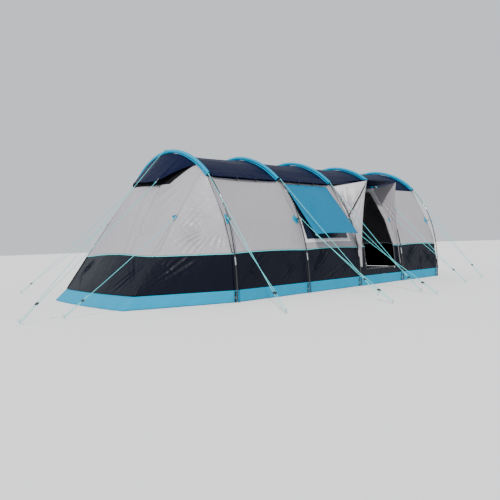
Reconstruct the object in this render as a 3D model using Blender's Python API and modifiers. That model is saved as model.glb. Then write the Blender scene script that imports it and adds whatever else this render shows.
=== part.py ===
"""Five-hoop tunnel tent with a side door under a porch, a window awning and pegged guy lines.

Tent coordinates, in metres: x runs along the tent from the foot of the rear hoop, y across it with
the door side at -y, and z up from the ground. The empty "tent" carries every piece and moves these
coordinates so that the middle of the tent's base is the world's origin.
"""
import math

import bmesh
import bpy
from mathutils import Matrix, Vector

# ---- Driving dimensions ------------------------------------------------------------------------
BAYS = (1.35, 1.20, 1.20, 1.15)                 # spacing of the five hoops' feet, rear to front
HOOP_LEAN = (0.0, -0.08, -0.10, -0.08, 0.08)    # how far each crown stands along x from its feet
CROWN_HEIGHT = 2.10                             # pole centre line at the crown
FOOT_WIDTH = 3.00                               # pole centre lines at the ground
HOOP_SIDE_POWER = 1.08                          # roundness of a hoop: 1 and 1 would be an ellipse
HOOP_RISE_POWER = 0.75
POLE_RADIUS = 0.008
POLE_FOOT_HEIGHT = 0.012                        # the pole's end stands in its pin above the ground

SLEEVE_RADIUS = 0.026
SLEEVE_WALL = 0.006
SLEEVE_END_HEIGHT = 1.67                        # pole centre line where the sleeve stops

FABRIC = 0.003                                  # thickness of each sheet solid
SEAM_GAP = 0.006                                # from a panel's edge to the plane of its seam
ROOF_INSET = 0.032                              # roof sheet below the pole centre line
ROOF_SAG = 0.030
WALL_SAG = 0.020
WALL_TOP_DROP = 0.014                           # wall's top edge below the roof's lower edge
SKIRT_HEIGHT = 0.155
BAND_HEIGHT = 0.62                              # top of the dark mud wall
TAB_HEIGHT = 1.06                               # guy tabs half way up a hoop's leg
UPPER_LEVEL_RISE = 0.26                         # a further level of the wall sheets, above the tabs
FOOT_TUCK = 0.038                               # wall inside the pole centre line at the foot
BAND_TUCK = 0.070                               # ... at the top of the mud wall
TAB_TUCK = 0.075                                # ... at the guy tab

REAR_REACH = 1.32                               # rear corners beyond the rear hoop, at the ground
REAR_CORNER = 1.00                              # rear corners from the centre line
REAR_BULGE = 0.06
FRONT_REACH = 0.16                              # front corners beyond the front hoop, at the ground
FRONT_SKIRT_REACH = 0.21                        # ... at the top of the skirt
REAR_SKIRT_REACH = 1.15
FRONT_CORNER = 1.40
FRONT_BULGE = 0.05

DOOR_BAY = 2
DOOR_REAR_MARGIN = 0.22                         # door opening from the hoops on either side
DOOR_FRONT_MARGIN = 0.18
DOOR_SILL = 0.27
DOOR_TOP = 1.54
DOOR_GAP = 0.012
DOOR_OPEN_ANGLE = 94.0                          # degrees that the tied-back leaf has swung inwards
LEAF_CLEARANCE = 0.0262                         # tied-back leaf's free corner above the groundsheet
SLIDER_SIZE = (0.034, 0.009, 0.014)
SLIDER_START = 0.03                             # slider's middle from the opening's front edge
SLIDER_DROP = 0.02                              # ... below the sill
SLIDER_STAND_OFF = 0.008                        # ... outside the mud wall
PORCH_REAR = (0.29, 0.05, 1.68)                 # outer corners of the porch roof: past their hoop,
PORCH_FRONT = (-0.09, 0.05, 1.69)               # inside the line of the feet, and height
PORCH_HEM = 0.30                                # height where the porch side panels end
PORCH_STAND_OFF = 0.034                         # side panels beside their hoop
PORCH_RISE = 0.07                               # the porch roof's arch where it meets the roof
PORCH_GAP = 0.012                               # porch cloth from the wall
PORCH_SPLAY = 0.02                              # a side panel's outer foot, away from its hoop
PORCH_TOP_DROP = 0.02                           # side panels end below the walls' top
PORCH_ROOF_CLEARANCE = 0.014                    # porch roof above its side panels
PORCH_ROOF_MARGIN = 0.066                       # porch roof's rear edge from the hoops
PORCH_ROOF_BACK = 0.72                          # slope of the roof that its arch follows

WINDOW_BAY = 1
WINDOW_MARGIN = 0.10                            # window from the hoops on either side
WINDOW_RISE = 0.12                              # sill above the mud wall
WINDOW_TOP = 1.50
WINDOW_GAP = 0.005
AWNING_MARGIN = 0.107
AWNING_TOP = 1.598
AWNING_STAND_OFF = 0.012
AWNING_LENGTH = 0.98
AWNING_ANGLE = 38.4                             # degrees from hanging straight down

VENT_BAYS = (0, 1)
VENT_MARGIN = 0.06
VENT_TOP_HEIGHT = 1.75
VENT_INSET = 0.020                              # hinge line below the pole centre line
VENT_LENGTH = 0.150
VENT_ANGLE = 52.0                               # degrees from hanging straight down

HOOD_CLEARANCE = 0.020                          # hood outside the rear wall, along its edges
HOOD_LIFT = 0.110                               # its peak further out, where the guy line pulls
HOOD_FAR = (1.0, 0.94)                          # corners of its lower edge on the rear wall, as
HOOD_PEAK = (-0.45, 0.715)                      # (share across, share up from the mud wall)
HOOD_NEAR = (-0.86, 1.0)

GROUNDSHEET_INSET = 0.030
INNER_FRONT = 1.20                              # bedroom's partition, from the rear hoop
INNER_REAR = -0.70
INNER_HALF_WIDTH = 1.28
INNER_HEIGHT = 1.84
INNER_TAIL = (0.90, 0.56)                       # half width and height at the bedroom's rear
INNER_FLOOR = 0.012

CORD_RADIUS = 0.003
CORD_SAG = 0.010
STRAND_OFFSET = 0.014                           # a strand's centre from the runner's centre
RUNNER_DISTANCE = 0.26                          # from the peg, along the line
RUNNER_LENGTH = 0.034
RUNNER_HALF_WIDTH = 0.023
RUNNER_HALF_THICKNESS = 0.007
BORE_CLEARANCE = 0.0008
TAIL_LENGTH = 0.045                             # cord past the runner on a line that ends there
PEG_RADIUS = 0.0035
PEG_GRIP = 0.022                                # height at which a line holds its peg
PEG_CLEARANCE = 0.0012
TAB_STAND_OFF = 0.017                           # a line's end outside the pole's centre line
TAB_SIDE = 0.022                                # ... and beside it, so that the line clears the leg

LEG_PEGS = (                                    # pegs of the legs' lines: along from their hoop's
    (-0.32, 1.15), (0.22, 0.98), (-0.36, 1.23), (0.03, 1.08), (-0.05, 0.85),    # foot, and out
)
OTHER_PEGS = {                                  # where the other lines' pegs enter the ground
    "rear_far": (-1.25, 2.70), "crown": (-2.45, -1.02), "rear_near": (-2.01, -1.04),
    "awning_rear": (0.94, -3.11), "awning_front": (2.01, -3.06),
}

NAVY = (0.006, 0.012, 0.045)
TURQUOISE = (0.012, 0.47, 0.70)
GREY = (0.46, 0.45, 0.48)
CHARCOAL = (0.018, 0.018, 0.027)
TEAL = (0.004, 0.30, 0.52)
MINT = (0.35, 0.75, 0.74)
BLACK = (0.012, 0.012, 0.014)
STEEL = (0.55, 0.56, 0.58)

# ---- Derived values ----------------------------------------------------------------------------
HOOP_X = [sum(BAYS[:i]) for i in range(len(BAYS) + 1)]
HALF_WIDTH = FOOT_WIDTH / 2
LOWER_LEVEL = (BAND_HEIGHT + TAB_HEIGHT) / 2    # further levels of the wall sheets' points
UPPER_LEVEL = TAB_HEIGHT + UPPER_LEVEL_RISE
WINDOW_SILL = BAND_HEIGHT + WINDOW_RISE
PEGS = {f"front_{i + 1}": (HOOP_X[i] + along, -(HALF_WIDTH + out))
        for i, (along, out) in enumerate(LEG_PEGS)} | OTHER_PEGS
ARCH_STEPS = 14                                 # segments along a sleeve or across the roof
LEG_STEPS = 5
BAY_STEPS = 2
BEND_STEPS = 6                                  # segments of a guy line's turn round its peg


def hoop_angle(height):
    """Angle along a hoop, from its near foot, at which the pole reaches a height."""
    return math.asin(min(1.0, height / CROWN_HEIGHT) ** (1 / HOOP_RISE_POWER))


def hoop_section(angle):
    """Pole centre line in the hoop's own plane, as (y, z)."""
    across = -math.copysign(abs(math.cos(angle)) ** HOOP_SIDE_POWER, math.cos(angle))
    return across * HALF_WIDTH, abs(math.sin(angle)) ** HOOP_RISE_POWER * CROWN_HEIGHT


def hoop_x(hoop, height):
    return HOOP_X[hoop] + HOOP_LEAN[hoop] * height / CROWN_HEIGHT


def hoop_point(hoop, angle, inset=0.0):
    """Point on a hoop, moved towards the inside by inset, square to the pole."""
    step = 0.01
    y0, z0 = hoop_section(max(angle - step, 1e-6))
    y1, z1 = hoop_section(min(angle + step, math.pi - 1e-6))
    y, z = hoop_section(angle)
    length = math.hypot(y1 - y0, z1 - z0)
    y += inset * (z1 - z0) / length
    z -= inset * (y1 - y0) / length
    return Vector((hoop_x(hoop, z), y, z))


SLEEVE_END = hoop_angle(SLEEVE_END_HEIGHT)
ROOF_EDGE = hoop_point(0, SLEEVE_END, ROOF_INSET)
WALL_TOP = ROOF_EDGE.z - WALL_TOP_DROP


def pole_y(height):
    """Distance of a pole from the centre line at a height."""
    return abs(hoop_section(hoop_angle(height))[0])


def interpolate(knots, value):
    """Piecewise linear value between (position, value) knots."""
    for (a, fa), (b, fb) in zip(knots, knots[1:]):
        if value <= b:
            return fa + (fb - fa) * max(0.0, value - a) / (b - a)
    return knots[-1][1]


WALL_KNOTS = (
    (0.0, HALF_WIDTH - FOOT_TUCK), (SKIRT_HEIGHT, HALF_WIDTH - FOOT_TUCK),
    (BAND_HEIGHT, HALF_WIDTH - BAND_TUCK), (TAB_HEIGHT, pole_y(TAB_HEIGHT) - TAB_TUCK),
    (WALL_TOP, -ROOF_EDGE.y + WALL_TOP_DROP / 3),
)


def wall_y(height):
    """Distance of the side walls' cloth from the centre line, at a hoop."""
    return interpolate(WALL_KNOTS, height)


def mid_bay(share):
    """How much of its sag the cloth has, between one hoop (0) and the next (1)."""
    return 4 * share * (1 - share)


def wall_point(bay, share, height, side=-1, stand_off=0.0):
    """Point on a side wall, share of the way along a bay."""
    x = hoop_x(bay, height) * (1 - share) + hoop_x(bay + 1, height) * share
    above_band = max(0.0, height - BAND_HEIGHT) / (WALL_TOP - BAND_HEIGHT)
    y = wall_y(height) - WALL_SAG * mid_bay(share) * above_band + stand_off
    return Vector((x, side * y, height))


def roof_point(bay, share, angle, inset=ROOF_INSET):
    """Point on the roof, share of the way along a bay and angle round the hoops."""
    a = hoop_point(bay, angle, inset)
    b = hoop_point(bay + 1, angle, inset)
    point = a.lerp(b, share)
    rise = (math.sin(angle) - math.sin(SLEEVE_END)) / (1 - math.sin(SLEEVE_END))
    cosine = math.cos(angle) / math.cos(SLEEVE_END)
    point.y += WALL_SAG * mid_bay(share) * cosine
    point.z -= ROOF_SAG * mid_bay(share) * rise
    return point


# ---- Ends of the tent --------------------------------------------------------------------------
RIDGE_TOP = 1.72                                # where an end wall's corner seam meets its hoop
REAR_SEAM = ((0.0, REAR_REACH), (SKIRT_HEIGHT, REAR_SKIRT_REACH), (BAND_HEIGHT, 0.83),
             (1.09, 0.49), (RIDGE_TOP, 0.0))
REAR_SEAM_Y = ((0.0, REAR_CORNER), (BAND_HEIGHT, REAR_CORNER - 0.03), (RIDGE_TOP, 0.0))
FRONT_SEAM = ((0.0, FRONT_REACH), (SKIRT_HEIGHT, FRONT_SKIRT_REACH), (BAND_HEIGHT, 0.05),
              (RIDGE_TOP, 0.0))
FRONT_SEAM_Y = ((0.0, FRONT_CORNER), (BAND_HEIGHT, FRONT_CORNER - 0.02), (RIDGE_TOP, 0.0))
ENDS = {
    "rear": dict(hoop=0, out=-1, reach=REAR_SEAM, corner=REAR_SEAM_Y, bulge=REAR_BULGE),
    "front": dict(hoop=len(BAYS), out=1, reach=FRONT_SEAM, corner=FRONT_SEAM_Y, bulge=FRONT_BULGE),
}
SIDE_STEPS = 2
END_STEPS = 6


def leg_y(height):
    """Distance of the cloth from the centre line at a hoop, up to the end wall's corner seam."""
    if height <= WALL_TOP:
        return wall_y(height)
    over = hoop_point(0, hoop_angle(RIDGE_TOP + ROOF_INSET), ROOF_INSET)
    share = (height - WALL_TOP) / (RIDGE_TOP - WALL_TOP)
    return wall_y(WALL_TOP) * (1 - share) + abs(over.y) * share


def seam_y(end, height):
    """Distance of an end wall's corner seam from the centre line."""
    (z0, y0), (z1, y1), _ = end["corner"]
    if height <= z1:
        return interpolate(((z0, y0), (z1, y1)), height)
    share = (height - z1) / (RIDGE_TOP - z1)
    return y1 * (1 - share) + leg_y(RIDGE_TOP) * share


def end_row(end, height):
    """One level round an end wall, from the near leg to the far one."""
    x = hoop_x(end["hoop"], height) + end["out"] * SEAM_GAP
    reach = end["out"] * interpolate(end["reach"], height)
    corner = seam_y(end, height)
    leg = leg_y(height)
    row = []
    for side in (-1, 1):
        shares = [k / SIDE_STEPS for k in range(SIDE_STEPS)]
        part = [Vector((x + reach * s, side * (leg + (corner - leg) * s), height)) for s in shares]
        row.append(part)
    middle = []
    for j in range(END_STEPS + 1):
        v = 2 * j / END_STEPS - 1
        bulge = end["out"] * end["bulge"] * (1 - v * v)
        middle.append(Vector((x + reach + bulge, v * corner, height)))
    return row[0] + middle + row[1][::-1]


def end_wall_point(end, lowest, up, across):
    """Point of an end wall's middle panel: share up from the mud wall, share across from the middle."""
    corner = seam_y(end, lowest)
    swell = end["bulge"] * (1 - across * across)
    reach = SEAM_GAP + swell + interpolate(end["reach"], lowest)
    foot = Vector((hoop_x(end["hoop"], lowest) + end["out"] * reach, across * corner, lowest))
    top = end_arch_point(end, across * leg_y(RIDGE_TOP))
    height = lowest + up * (RIDGE_TOP - lowest)
    ratio = interpolate(end["reach"], height) / interpolate(end["reach"], lowest)
    x = top.x + (foot.x - top.x) * ratio + end["out"] * swell * 4 * up * (1 - up)
    return Vector((x, foot.y + (top.y - foot.y) * up, foot.z + (top.z - foot.z) * up))


def end_wall_rows(end, lowest, levels=6):
    """Rows of an end wall's upper cloth, from the mud wall to the hoop."""
    rows = []
    for i in range(levels + 1):
        up = i / levels
        row = end_row(end, lowest + up * (RIDGE_TOP - lowest))
        for j in range(END_STEPS + 1):
            row[SIDE_STEPS + j] = end_wall_point(end, lowest, up, 2 * j / END_STEPS - 1)
        rows.append(row)
    return rows


def end_arch_point(end, y):
    """Point of an end wall's upper edge, under the hoop's sleeve, at a distance across."""
    low, high = hoop_angle(RIDGE_TOP), math.pi / 2
    if abs(y) < 1e-9:
        angle = high
    else:
        for _ in range(30):
            angle = (low + high) / 2
            if abs(hoop_point(0, angle, ROOF_INSET).y) > abs(y):
                low = angle
            else:
                high = angle
    point = hoop_point(end["hoop"], angle, ROOF_INSET)
    if abs(abs(y) - leg_y(RIDGE_TOP)) < 1e-6:
        point.z = RIDGE_TOP
    return Vector((hoop_x(end["hoop"], point.z) + end["out"] * SEAM_GAP, y, point.z))


def ring_row(height, door_shares=None):
    """One closed level round the whole tent, seen from above: near side, front, far side, rear."""
    row = []
    for bay in range(len(BAYS)):
        shares = [k / BAY_STEPS for k in range(BAY_STEPS)]
        if bay == DOOR_BAY and door_shares:
            shares = [0.0, door_shares[0], door_shares[1]]
        row += [wall_point(bay, s, height) for s in shares]
    front = end_row(ENDS["front"], height)
    row += [wall_point(len(BAYS) - 1, 1.0, height)] + front[1:-1]
    for bay in reversed(range(len(BAYS))):
        row += [wall_point(bay, 1 - k / BAY_STEPS, height, side=1) for k in range(BAY_STEPS)]
    rear = end_row(ENDS["rear"], height)
    row += [wall_point(0, 0.0, height, side=1)] + rear[1:-1][::-1]
    return row


def base_middle():
    """Middle of the tent's base: half way between its ends, and between awning and far poles."""
    level = [p.x for z in (0.0, SKIRT_HEIGHT) for p in ring_row(z)]
    near = awning_corners()[0].y - FABRIC / 2 * math.cos(math.radians(AWNING_ANGLE))
    return (max(level) + min(level)) / 2, (near + HALF_WIDTH + POLE_RADIUS) / 2


# ---- Making objects ----------------------------------------------------------------------------
def material(name, colour, roughness=0.6, metallic=0.0):
    made = bpy.data.materials.get(name)
    if made is None:
        made = bpy.data.materials.new(name)
        made.use_nodes = True
        shader = made.node_tree.nodes["Principled BSDF"]
        shader.inputs["Base Color"].default_value = (*colour, 1.0)
        shader.inputs["Roughness"].default_value = roughness
        shader.inputs["Metallic"].default_value = metallic
        made.diffuse_color = (*colour, 1.0)
    return made


def add_object(name, data, look):
    """Link an object to the tent's collection and hang it on the tent's empty."""
    made = bpy.data.objects.new(name, data)
    bpy.data.collections["tunnel_tent"].objects.link(made)
    made.parent = bpy.data.objects["tent"]
    data.materials.append(material(name + "_look", *look))
    return made


def cloth(name, rows, colour, skip=(), closed=False, thickness=FABRIC):
    """Sheet solid over a grid of points. skip holds the (row, column) cells that stay open."""
    bm = bmesh.new()
    grid = [[bm.verts.new(p) for p in row] for row in rows]
    columns = len(rows[0])
    for i in range(len(rows) - 1):
        for j in range(columns if closed else columns - 1):
            if (i, j) not in skip:
                k = (j + 1) % columns
                bm.faces.new((grid[i][j], grid[i][k], grid[i + 1][k], grid[i + 1][j]))
    bmesh.ops.remove_doubles(bm, verts=bm.verts, dist=0.0001)
    loose = [v for v in bm.verts if not v.link_faces]
    bmesh.ops.delete(bm, geom=loose, context="VERTS")
    bmesh.ops.recalc_face_normals(bm, faces=bm.faces)
    mesh = bpy.data.meshes.new(name)
    bm.to_mesh(mesh)
    bm.free()
    made = add_object(name, mesh, (colour, 0.55))
    shell = made.modifiers.new("thickness", "SOLIDIFY")
    shell.thickness = thickness
    shell.offset = 0.0
    return made


def tube(name, points, radius, look, resolution=2, capped=True):
    """Round tube along a list of points."""
    curve = bpy.data.curves.new(name, "CURVE")
    curve.dimensions = "3D"
    curve.bevel_depth = radius
    curve.bevel_resolution = resolution
    curve.use_fill_caps = capped
    spline = curve.splines.new("POLY")
    spline.points.add(len(points) - 1)
    for knot, point in zip(spline.points, points):
        knot.co = (*point, 1.0)
    return add_object(name, curve, look)


# ---- Frame -------------------------------------------------------------------------------------
def arch_angles():
    return [SLEEVE_END + (math.pi - 2 * SLEEVE_END) * k / ARCH_STEPS for k in range(ARCH_STEPS + 1)]


def make_hoop(index):
    """One pole, foot to foot, and the sleeve that holds it to the roof."""
    foot = hoop_angle(POLE_FOOT_HEIGHT)
    leg = [foot + (SLEEVE_END - foot) * k / LEG_STEPS for k in range(LEG_STEPS)]
    angles = leg + arch_angles() + [math.pi - a for a in reversed(leg)]
    points = [hoop_point(index, a) for a in angles]
    tube(f"pole_hoop_{index + 1}", points, POLE_RADIUS, (BLACK, 0.4), resolution=1)
    sleeve_points = [hoop_point(index, a) for a in arch_angles()]
    sleeve = tube(f"pole_sleeve_{index + 1}", sleeve_points, SLEEVE_RADIUS, (TURQUOISE, 0.5),
                  capped=False)
    wall = sleeve.modifiers.new("wall", "SOLIDIFY")
    wall.thickness = SLEEVE_WALL
    wall.offset = -1.0


# ---- Fly sheet ---------------------------------------------------------------------------------
def bay_columns(first, last):
    """(bay, share) columns from one hoop to another, kept clear of both end seams."""
    columns = []
    for bay in range(first, last + 1):
        columns += [(bay, k / BAY_STEPS) for k in range(BAY_STEPS)]
    columns[0] = (first, SEAM_GAP / BAYS[first])
    columns.append((last, 1 - SEAM_GAP / BAYS[last]))
    return columns


def make_roof():
    columns = bay_columns(0, len(BAYS) - 1)
    rows = [[roof_point(bay, share, a) for bay, share in columns] for a in arch_angles()]
    cloth("fly_roof", rows, NAVY)


def wall_levels():
    return [BAND_HEIGHT + SEAM_GAP, LOWER_LEVEL, TAB_HEIGHT, UPPER_LEVEL, WALL_TOP]


def make_back_wall():
    columns = bay_columns(0, len(BAYS) - 1)
    rows = [[wall_point(b, s, z, side=1) for b, s in columns] for z in wall_levels()]
    cloth("back_side_wall", rows, GREY)


def opening_shares(bay, rear_margin, front_margin):
    """The shares of a bay at which an opening starts and ends, the same at every height."""
    return rear_margin / BAYS[bay], 1 - front_margin / BAYS[bay]


def make_window_wall():
    """Near side wall of the two rear bays, round the window."""
    start, end = opening_shares(WINDOW_BAY, WINDOW_MARGIN, WINDOW_MARGIN)
    columns = [(0, SEAM_GAP / BAYS[0]), (0, 1 / 3), (0, 2 / 3), (1, 0.0), (1, start), (1, 0.5),
               (1, end), (1, 1 - SEAM_GAP / BAYS[1])]
    levels = [BAND_HEIGHT + SEAM_GAP, WINDOW_SILL, TAB_HEIGHT, WINDOW_TOP, WALL_TOP]
    rows = [[wall_point(b, s, z) for b, s in columns] for z in levels]
    cloth("window_side_wall", rows, GREY, skip={(i, j) for i in (1, 2) for j in (4, 5)})
    gap = WINDOW_GAP / BAYS[WINDOW_BAY]
    shares = [start + gap, (start + end) / 2, end - gap]
    heights = [WINDOW_SILL + WINDOW_GAP, TAB_HEIGHT, WINDOW_TOP - WINDOW_GAP]
    pane = [[wall_point(WINDOW_BAY, s, z) for s in shares] for z in heights]
    cloth("window_pane", pane, NAVY)


def make_door_wall():
    """Near side wall of the two front bays, open at the door."""
    start, end = opening_shares(DOOR_BAY, DOOR_REAR_MARGIN, DOOR_FRONT_MARGIN)
    columns = [(2, SEAM_GAP / BAYS[2]), (2, start), (2, end), (3, 0.0), (3, 1 / 3), (3, 2 / 3),
               (3, 1 - SEAM_GAP / BAYS[3])]
    levels = [BAND_HEIGHT + SEAM_GAP, TAB_HEIGHT, UPPER_LEVEL, DOOR_TOP, WALL_TOP]
    rows = [[wall_point(b, s, z) for b, s in columns] for z in levels]
    cloth("door_side_wall", rows, GREY, skip={(i, 1) for i in (0, 1, 2)})


def make_end_walls():
    for name, end in ENDS.items():
        rows = end_wall_rows(end, BAND_HEIGHT + SEAM_GAP)
        cloth(f"{name}_end_wall", rows, GREY)


def make_mud_wall():
    """Dark band round the tent, notched down to the sill at the door."""
    shares = opening_shares(DOOR_BAY, DOOR_REAR_MARGIN, DOOR_FRONT_MARGIN)
    levels = (SKIRT_HEIGHT + SEAM_GAP / 2, DOOR_SILL, BAND_HEIGHT - SEAM_GAP / 2)
    rows = [ring_row(z, shares) for z in levels]
    cloth("mud_wall", rows, CHARCOAL, skip={(1, DOOR_BAY * BAY_STEPS + 1)}, closed=True)


def make_skirt():
    rows = [ring_row(z) for z in (0.003, SKIRT_HEIGHT - SEAM_GAP / 2)]
    cloth("mud_skirt", rows, TURQUOISE, closed=True)


def make_groundsheet():
    bm = bmesh.new()
    middle, _ = base_middle()
    shrink = 1 - GROUNDSHEET_INSET / HALF_WIDTH
    outline = [bm.verts.new((middle + (p.x - middle) * shrink, p.y * shrink, 0.0))
               for p in ring_row(0.0)]
    face = bm.faces.new(outline)
    raised = bmesh.ops.extrude_face_region(bm, geom=[face])["geom"]
    top = [v for v in raised if isinstance(v, bmesh.types.BMVert)]
    bmesh.ops.translate(bm, verts=top, vec=(0, 0, FABRIC))
    bmesh.ops.recalc_face_normals(bm, faces=bm.faces)
    mesh = bpy.data.meshes.new("groundsheet")
    bm.to_mesh(mesh)
    bm.free()
    add_object("groundsheet", mesh, (CHARCOAL, 0.7))


# ---- Porch and door ----------------------------------------------------------------------------
def porch_corners():
    """Outer corners of the porch roof, rear and front."""
    places = ((DOOR_BAY, PORCH_REAR), (DOOR_BAY + 1, PORCH_FRONT))
    return [Vector((HOOP_X[hoop] + past, -(HALF_WIDTH - inside), height))
            for hoop, (past, inside, height) in places]


def make_porch():
    """Two side panels and a roof that carry the rain clear of the door."""
    rear, front = porch_corners()
    corners = {"rear": (rear, DOOR_BAY, 1), "front": (front, DOOR_BAY + 1, -1)}
    levels = (PORCH_HEM, BAND_HEIGHT, TAB_HEIGHT, UPPER_LEVEL, WALL_TOP - PORCH_TOP_DROP)
    for name, (corner, hoop, along) in corners.items():
        rows = []
        for height in levels:
            share = (height - PORCH_HEM) / (levels[-1] - PORCH_HEM)
            x = hoop_x(hoop, height) + along * PORCH_STAND_OFF
            inner = Vector((x, -(wall_y(height) + PORCH_GAP), height))
            foot = Vector((x + along * PORCH_SPLAY, -(HALF_WIDTH - PORCH_GAP), PORCH_HEM))
            outer = foot.lerp(corner, share)
            rows.append([inner.lerp(outer, k / 3) for k in range(4)])
        cloth(f"porch_{name}_panel", rows, GREY)
    clear = Vector((0, 0, PORCH_ROOF_CLEARANCE))
    start, end = opening_shares(DOOR_BAY, PORCH_ROOF_MARGIN, PORCH_ROOF_MARGIN)
    back, edge = [], []
    for k in range(5):
        share = start + (end - start) * k / 4
        lift = PORCH_RISE * mid_bay(share)
        point = wall_point(DOOR_BAY, share, WALL_TOP, stand_off=PORCH_GAP - lift * PORCH_ROOF_BACK)
        back.append(point + clear + Vector((0, 0, lift)))
        edge.append(rear.lerp(front, k / 4) + clear)
    rows = [[b.lerp(e, i / 3) for b, e in zip(back, edge)] for i in range(4)]
    cloth("porch_roof", rows, NAVY)


def leaf_shares():
    """Shares of the bay at the door leaf's hinge and at its free edge."""
    start, end = opening_shares(DOOR_BAY, DOOR_REAR_MARGIN, DOOR_FRONT_MARGIN)
    gap = DOOR_GAP / BAYS[DOOR_BAY]
    return start + gap, end - gap


def leaf_low():
    """Height of the leaf's lower edge, clear of the sill and, swung in, of the groundsheet."""
    hinge, free = leaf_shares()
    high = wall_point(DOOR_BAY, hinge, DOOR_TOP - DOOR_GAP)
    low = DOOR_SILL
    for _ in range(12):
        foot = wall_point(DOOR_BAY, hinge, low)
        axis = (high - foot).normalized()
        corner = turned(wall_point(DOOR_BAY, free, low), foot, axis, DOOR_OPEN_ANGLE)
        low += FABRIC + LEAF_CLEARANCE - corner.z
    return max(low, DOOR_SILL + DOOR_GAP)


def door_hinge():
    """Ends of the line that the door leaf turns about."""
    share, _ = leaf_shares()
    return wall_point(DOOR_BAY, share, leaf_low()), wall_point(DOOR_BAY, share, DOOR_TOP - DOOR_GAP)


def turned(point, centre, axis, degrees):
    """A point turned about a line."""
    return centre + Matrix.Rotation(math.radians(degrees), 3, axis) @ (point - centre)


def make_door():
    """Door leaf, tied back inside, and the slider of the zip along its sill."""
    start, end = leaf_shares()
    shares = [start + (end - start) * k / 4 for k in range(5)]
    low, high = leaf_low(), DOOR_TOP - DOOR_GAP
    heights = [low, BAND_HEIGHT, LOWER_LEVEL, TAB_HEIGHT, UPPER_LEVEL, high]
    hinge_low, hinge_high = door_hinge()
    axis = (hinge_high - hinge_low).normalized()
    rows = [[turned(wall_point(DOOR_BAY, s, z), hinge_low, axis, DOOR_OPEN_ANGLE) for s in shares]
            for z in heights]
    cloth("door_leaf", rows, GREY)
    bm = bmesh.new()
    bmesh.ops.create_cube(bm, size=1.0)
    bmesh.ops.scale(bm, verts=bm.verts, vec=SLIDER_SIZE)
    bmesh.ops.bevel(bm, geom=bm.edges[:], offset=0.002, segments=1, profile=0.5, affect="EDGES",
                    material=-1)
    share = end + (DOOR_GAP - SLIDER_START) / BAYS[DOOR_BAY]
    place = wall_point(DOOR_BAY, share, DOOR_SILL - SLIDER_DROP, stand_off=SLIDER_STAND_OFF)
    mesh = bpy.data.meshes.new("door_zip_slider")
    bm.to_mesh(mesh)
    bm.free()
    slider = add_object("door_zip_slider", mesh, (STEEL, 0.35, 1.0))
    slider.location = place


# ---- Window awning, vents and hood -------------------------------------------------------------
def hanging(length, degrees):
    """Vector down a sheet that swings out from a hinge by an angle from hanging straight down."""
    drop = math.radians(degrees)
    return Vector((0, -math.sin(drop), -math.cos(drop))) * length


def hanging_sheet(name, hinge_points, length, degrees, colour):
    reach = hanging(length, degrees)
    cloth(name, [[p + reach * i / 3 for p in hinge_points] for i in range(4)], colour)


def awning_hinge():
    start, end = opening_shares(WINDOW_BAY, AWNING_MARGIN, AWNING_MARGIN)
    ends = [wall_point(WINDOW_BAY, s, AWNING_TOP, stand_off=AWNING_STAND_OFF) for s in (start, end)]
    y = min(p.y for p in ends)
    return [Vector((p.x, y, p.z)) for p in ends]


def awning_corners():
    return [p + hanging(AWNING_LENGTH, AWNING_ANGLE) for p in awning_hinge()]


def make_awning():
    a, b = awning_hinge()
    hanging_sheet("window_awning", [a.lerp(b, k / 4) for k in range(5)], AWNING_LENGTH,
                  AWNING_ANGLE, TEAL)


def vent_hinge(bay):
    angle = hoop_angle(VENT_TOP_HEIGHT)
    a = hoop_point(bay, angle, VENT_INSET)
    b = hoop_point(bay + 1, angle, VENT_INSET)
    margin = VENT_MARGIN / BAYS[bay]
    return a.lerp(b, margin), a.lerp(b, 1 - margin)


def make_vents():
    for number, bay in enumerate(VENT_BAYS, start=1):
        a, b = vent_hinge(bay)
        hanging_sheet(f"vent_flap_{number}", [a.lerp(b, k / 2) for k in range(3)], VENT_LENGTH,
                      VENT_ANGLE, NAVY)


def make_hood():
    """Cover over the rear vent, sewn under the rear hoop and pulled out at its peak."""
    columns = []
    steps = {HOOD_FAR: 8, HOOD_PEAK: 4}
    for start, end in ((HOOD_FAR, HOOD_PEAK), (HOOD_PEAK, HOOD_NEAR)):
        for k in range(steps[start]):
            share = k / steps[start]
            across = start[0] + (end[0] - start[0]) * share
            lower = start[1] + (end[1] - start[1]) * share
            columns.append((across, lower, share if start is HOOD_FAR else 1 - share))
    columns.append((*HOOD_NEAR, 0.0))
    rows = [[hood_point(a, 1 - (1 - low) * i / 3, lift * i / 3) for a, low, lift in columns]
            for i in range(4)]
    cloth("rear_vent_hood", rows, NAVY)


def hood_point(across, up, lift):
    """Point of the hood, outside the rear wall by its clearance and a share of its lift."""
    point = end_wall_point(ENDS["rear"], BAND_HEIGHT + SEAM_GAP, up, across)
    point.x -= HOOD_CLEARANCE + HOOD_LIFT * lift
    return point


# ---- Inside ------------------------------------------------------------------------------------
def bedroom_section(x, half_width, height, shrink=1.0):
    """Closed outline of the bedroom, an arch with a floor, clockwise seen from the front."""
    points = []
    arch = 12
    for k in range(arch + 1):
        angle = math.pi * k / arch
        y = -math.copysign(abs(math.cos(angle)) ** 0.7, math.cos(angle)) * half_width
        z = math.sin(angle) ** 0.75 * height
        points.append(Vector((x, y * shrink, INNER_FLOOR + 0.1 * (1 - shrink) + z * shrink)))
    floor = 3
    for k in range(1, floor):
        y = half_width - 2 * half_width * k / floor
        points.append(Vector((x, y * shrink, points[0].z)))
    return points


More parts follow.
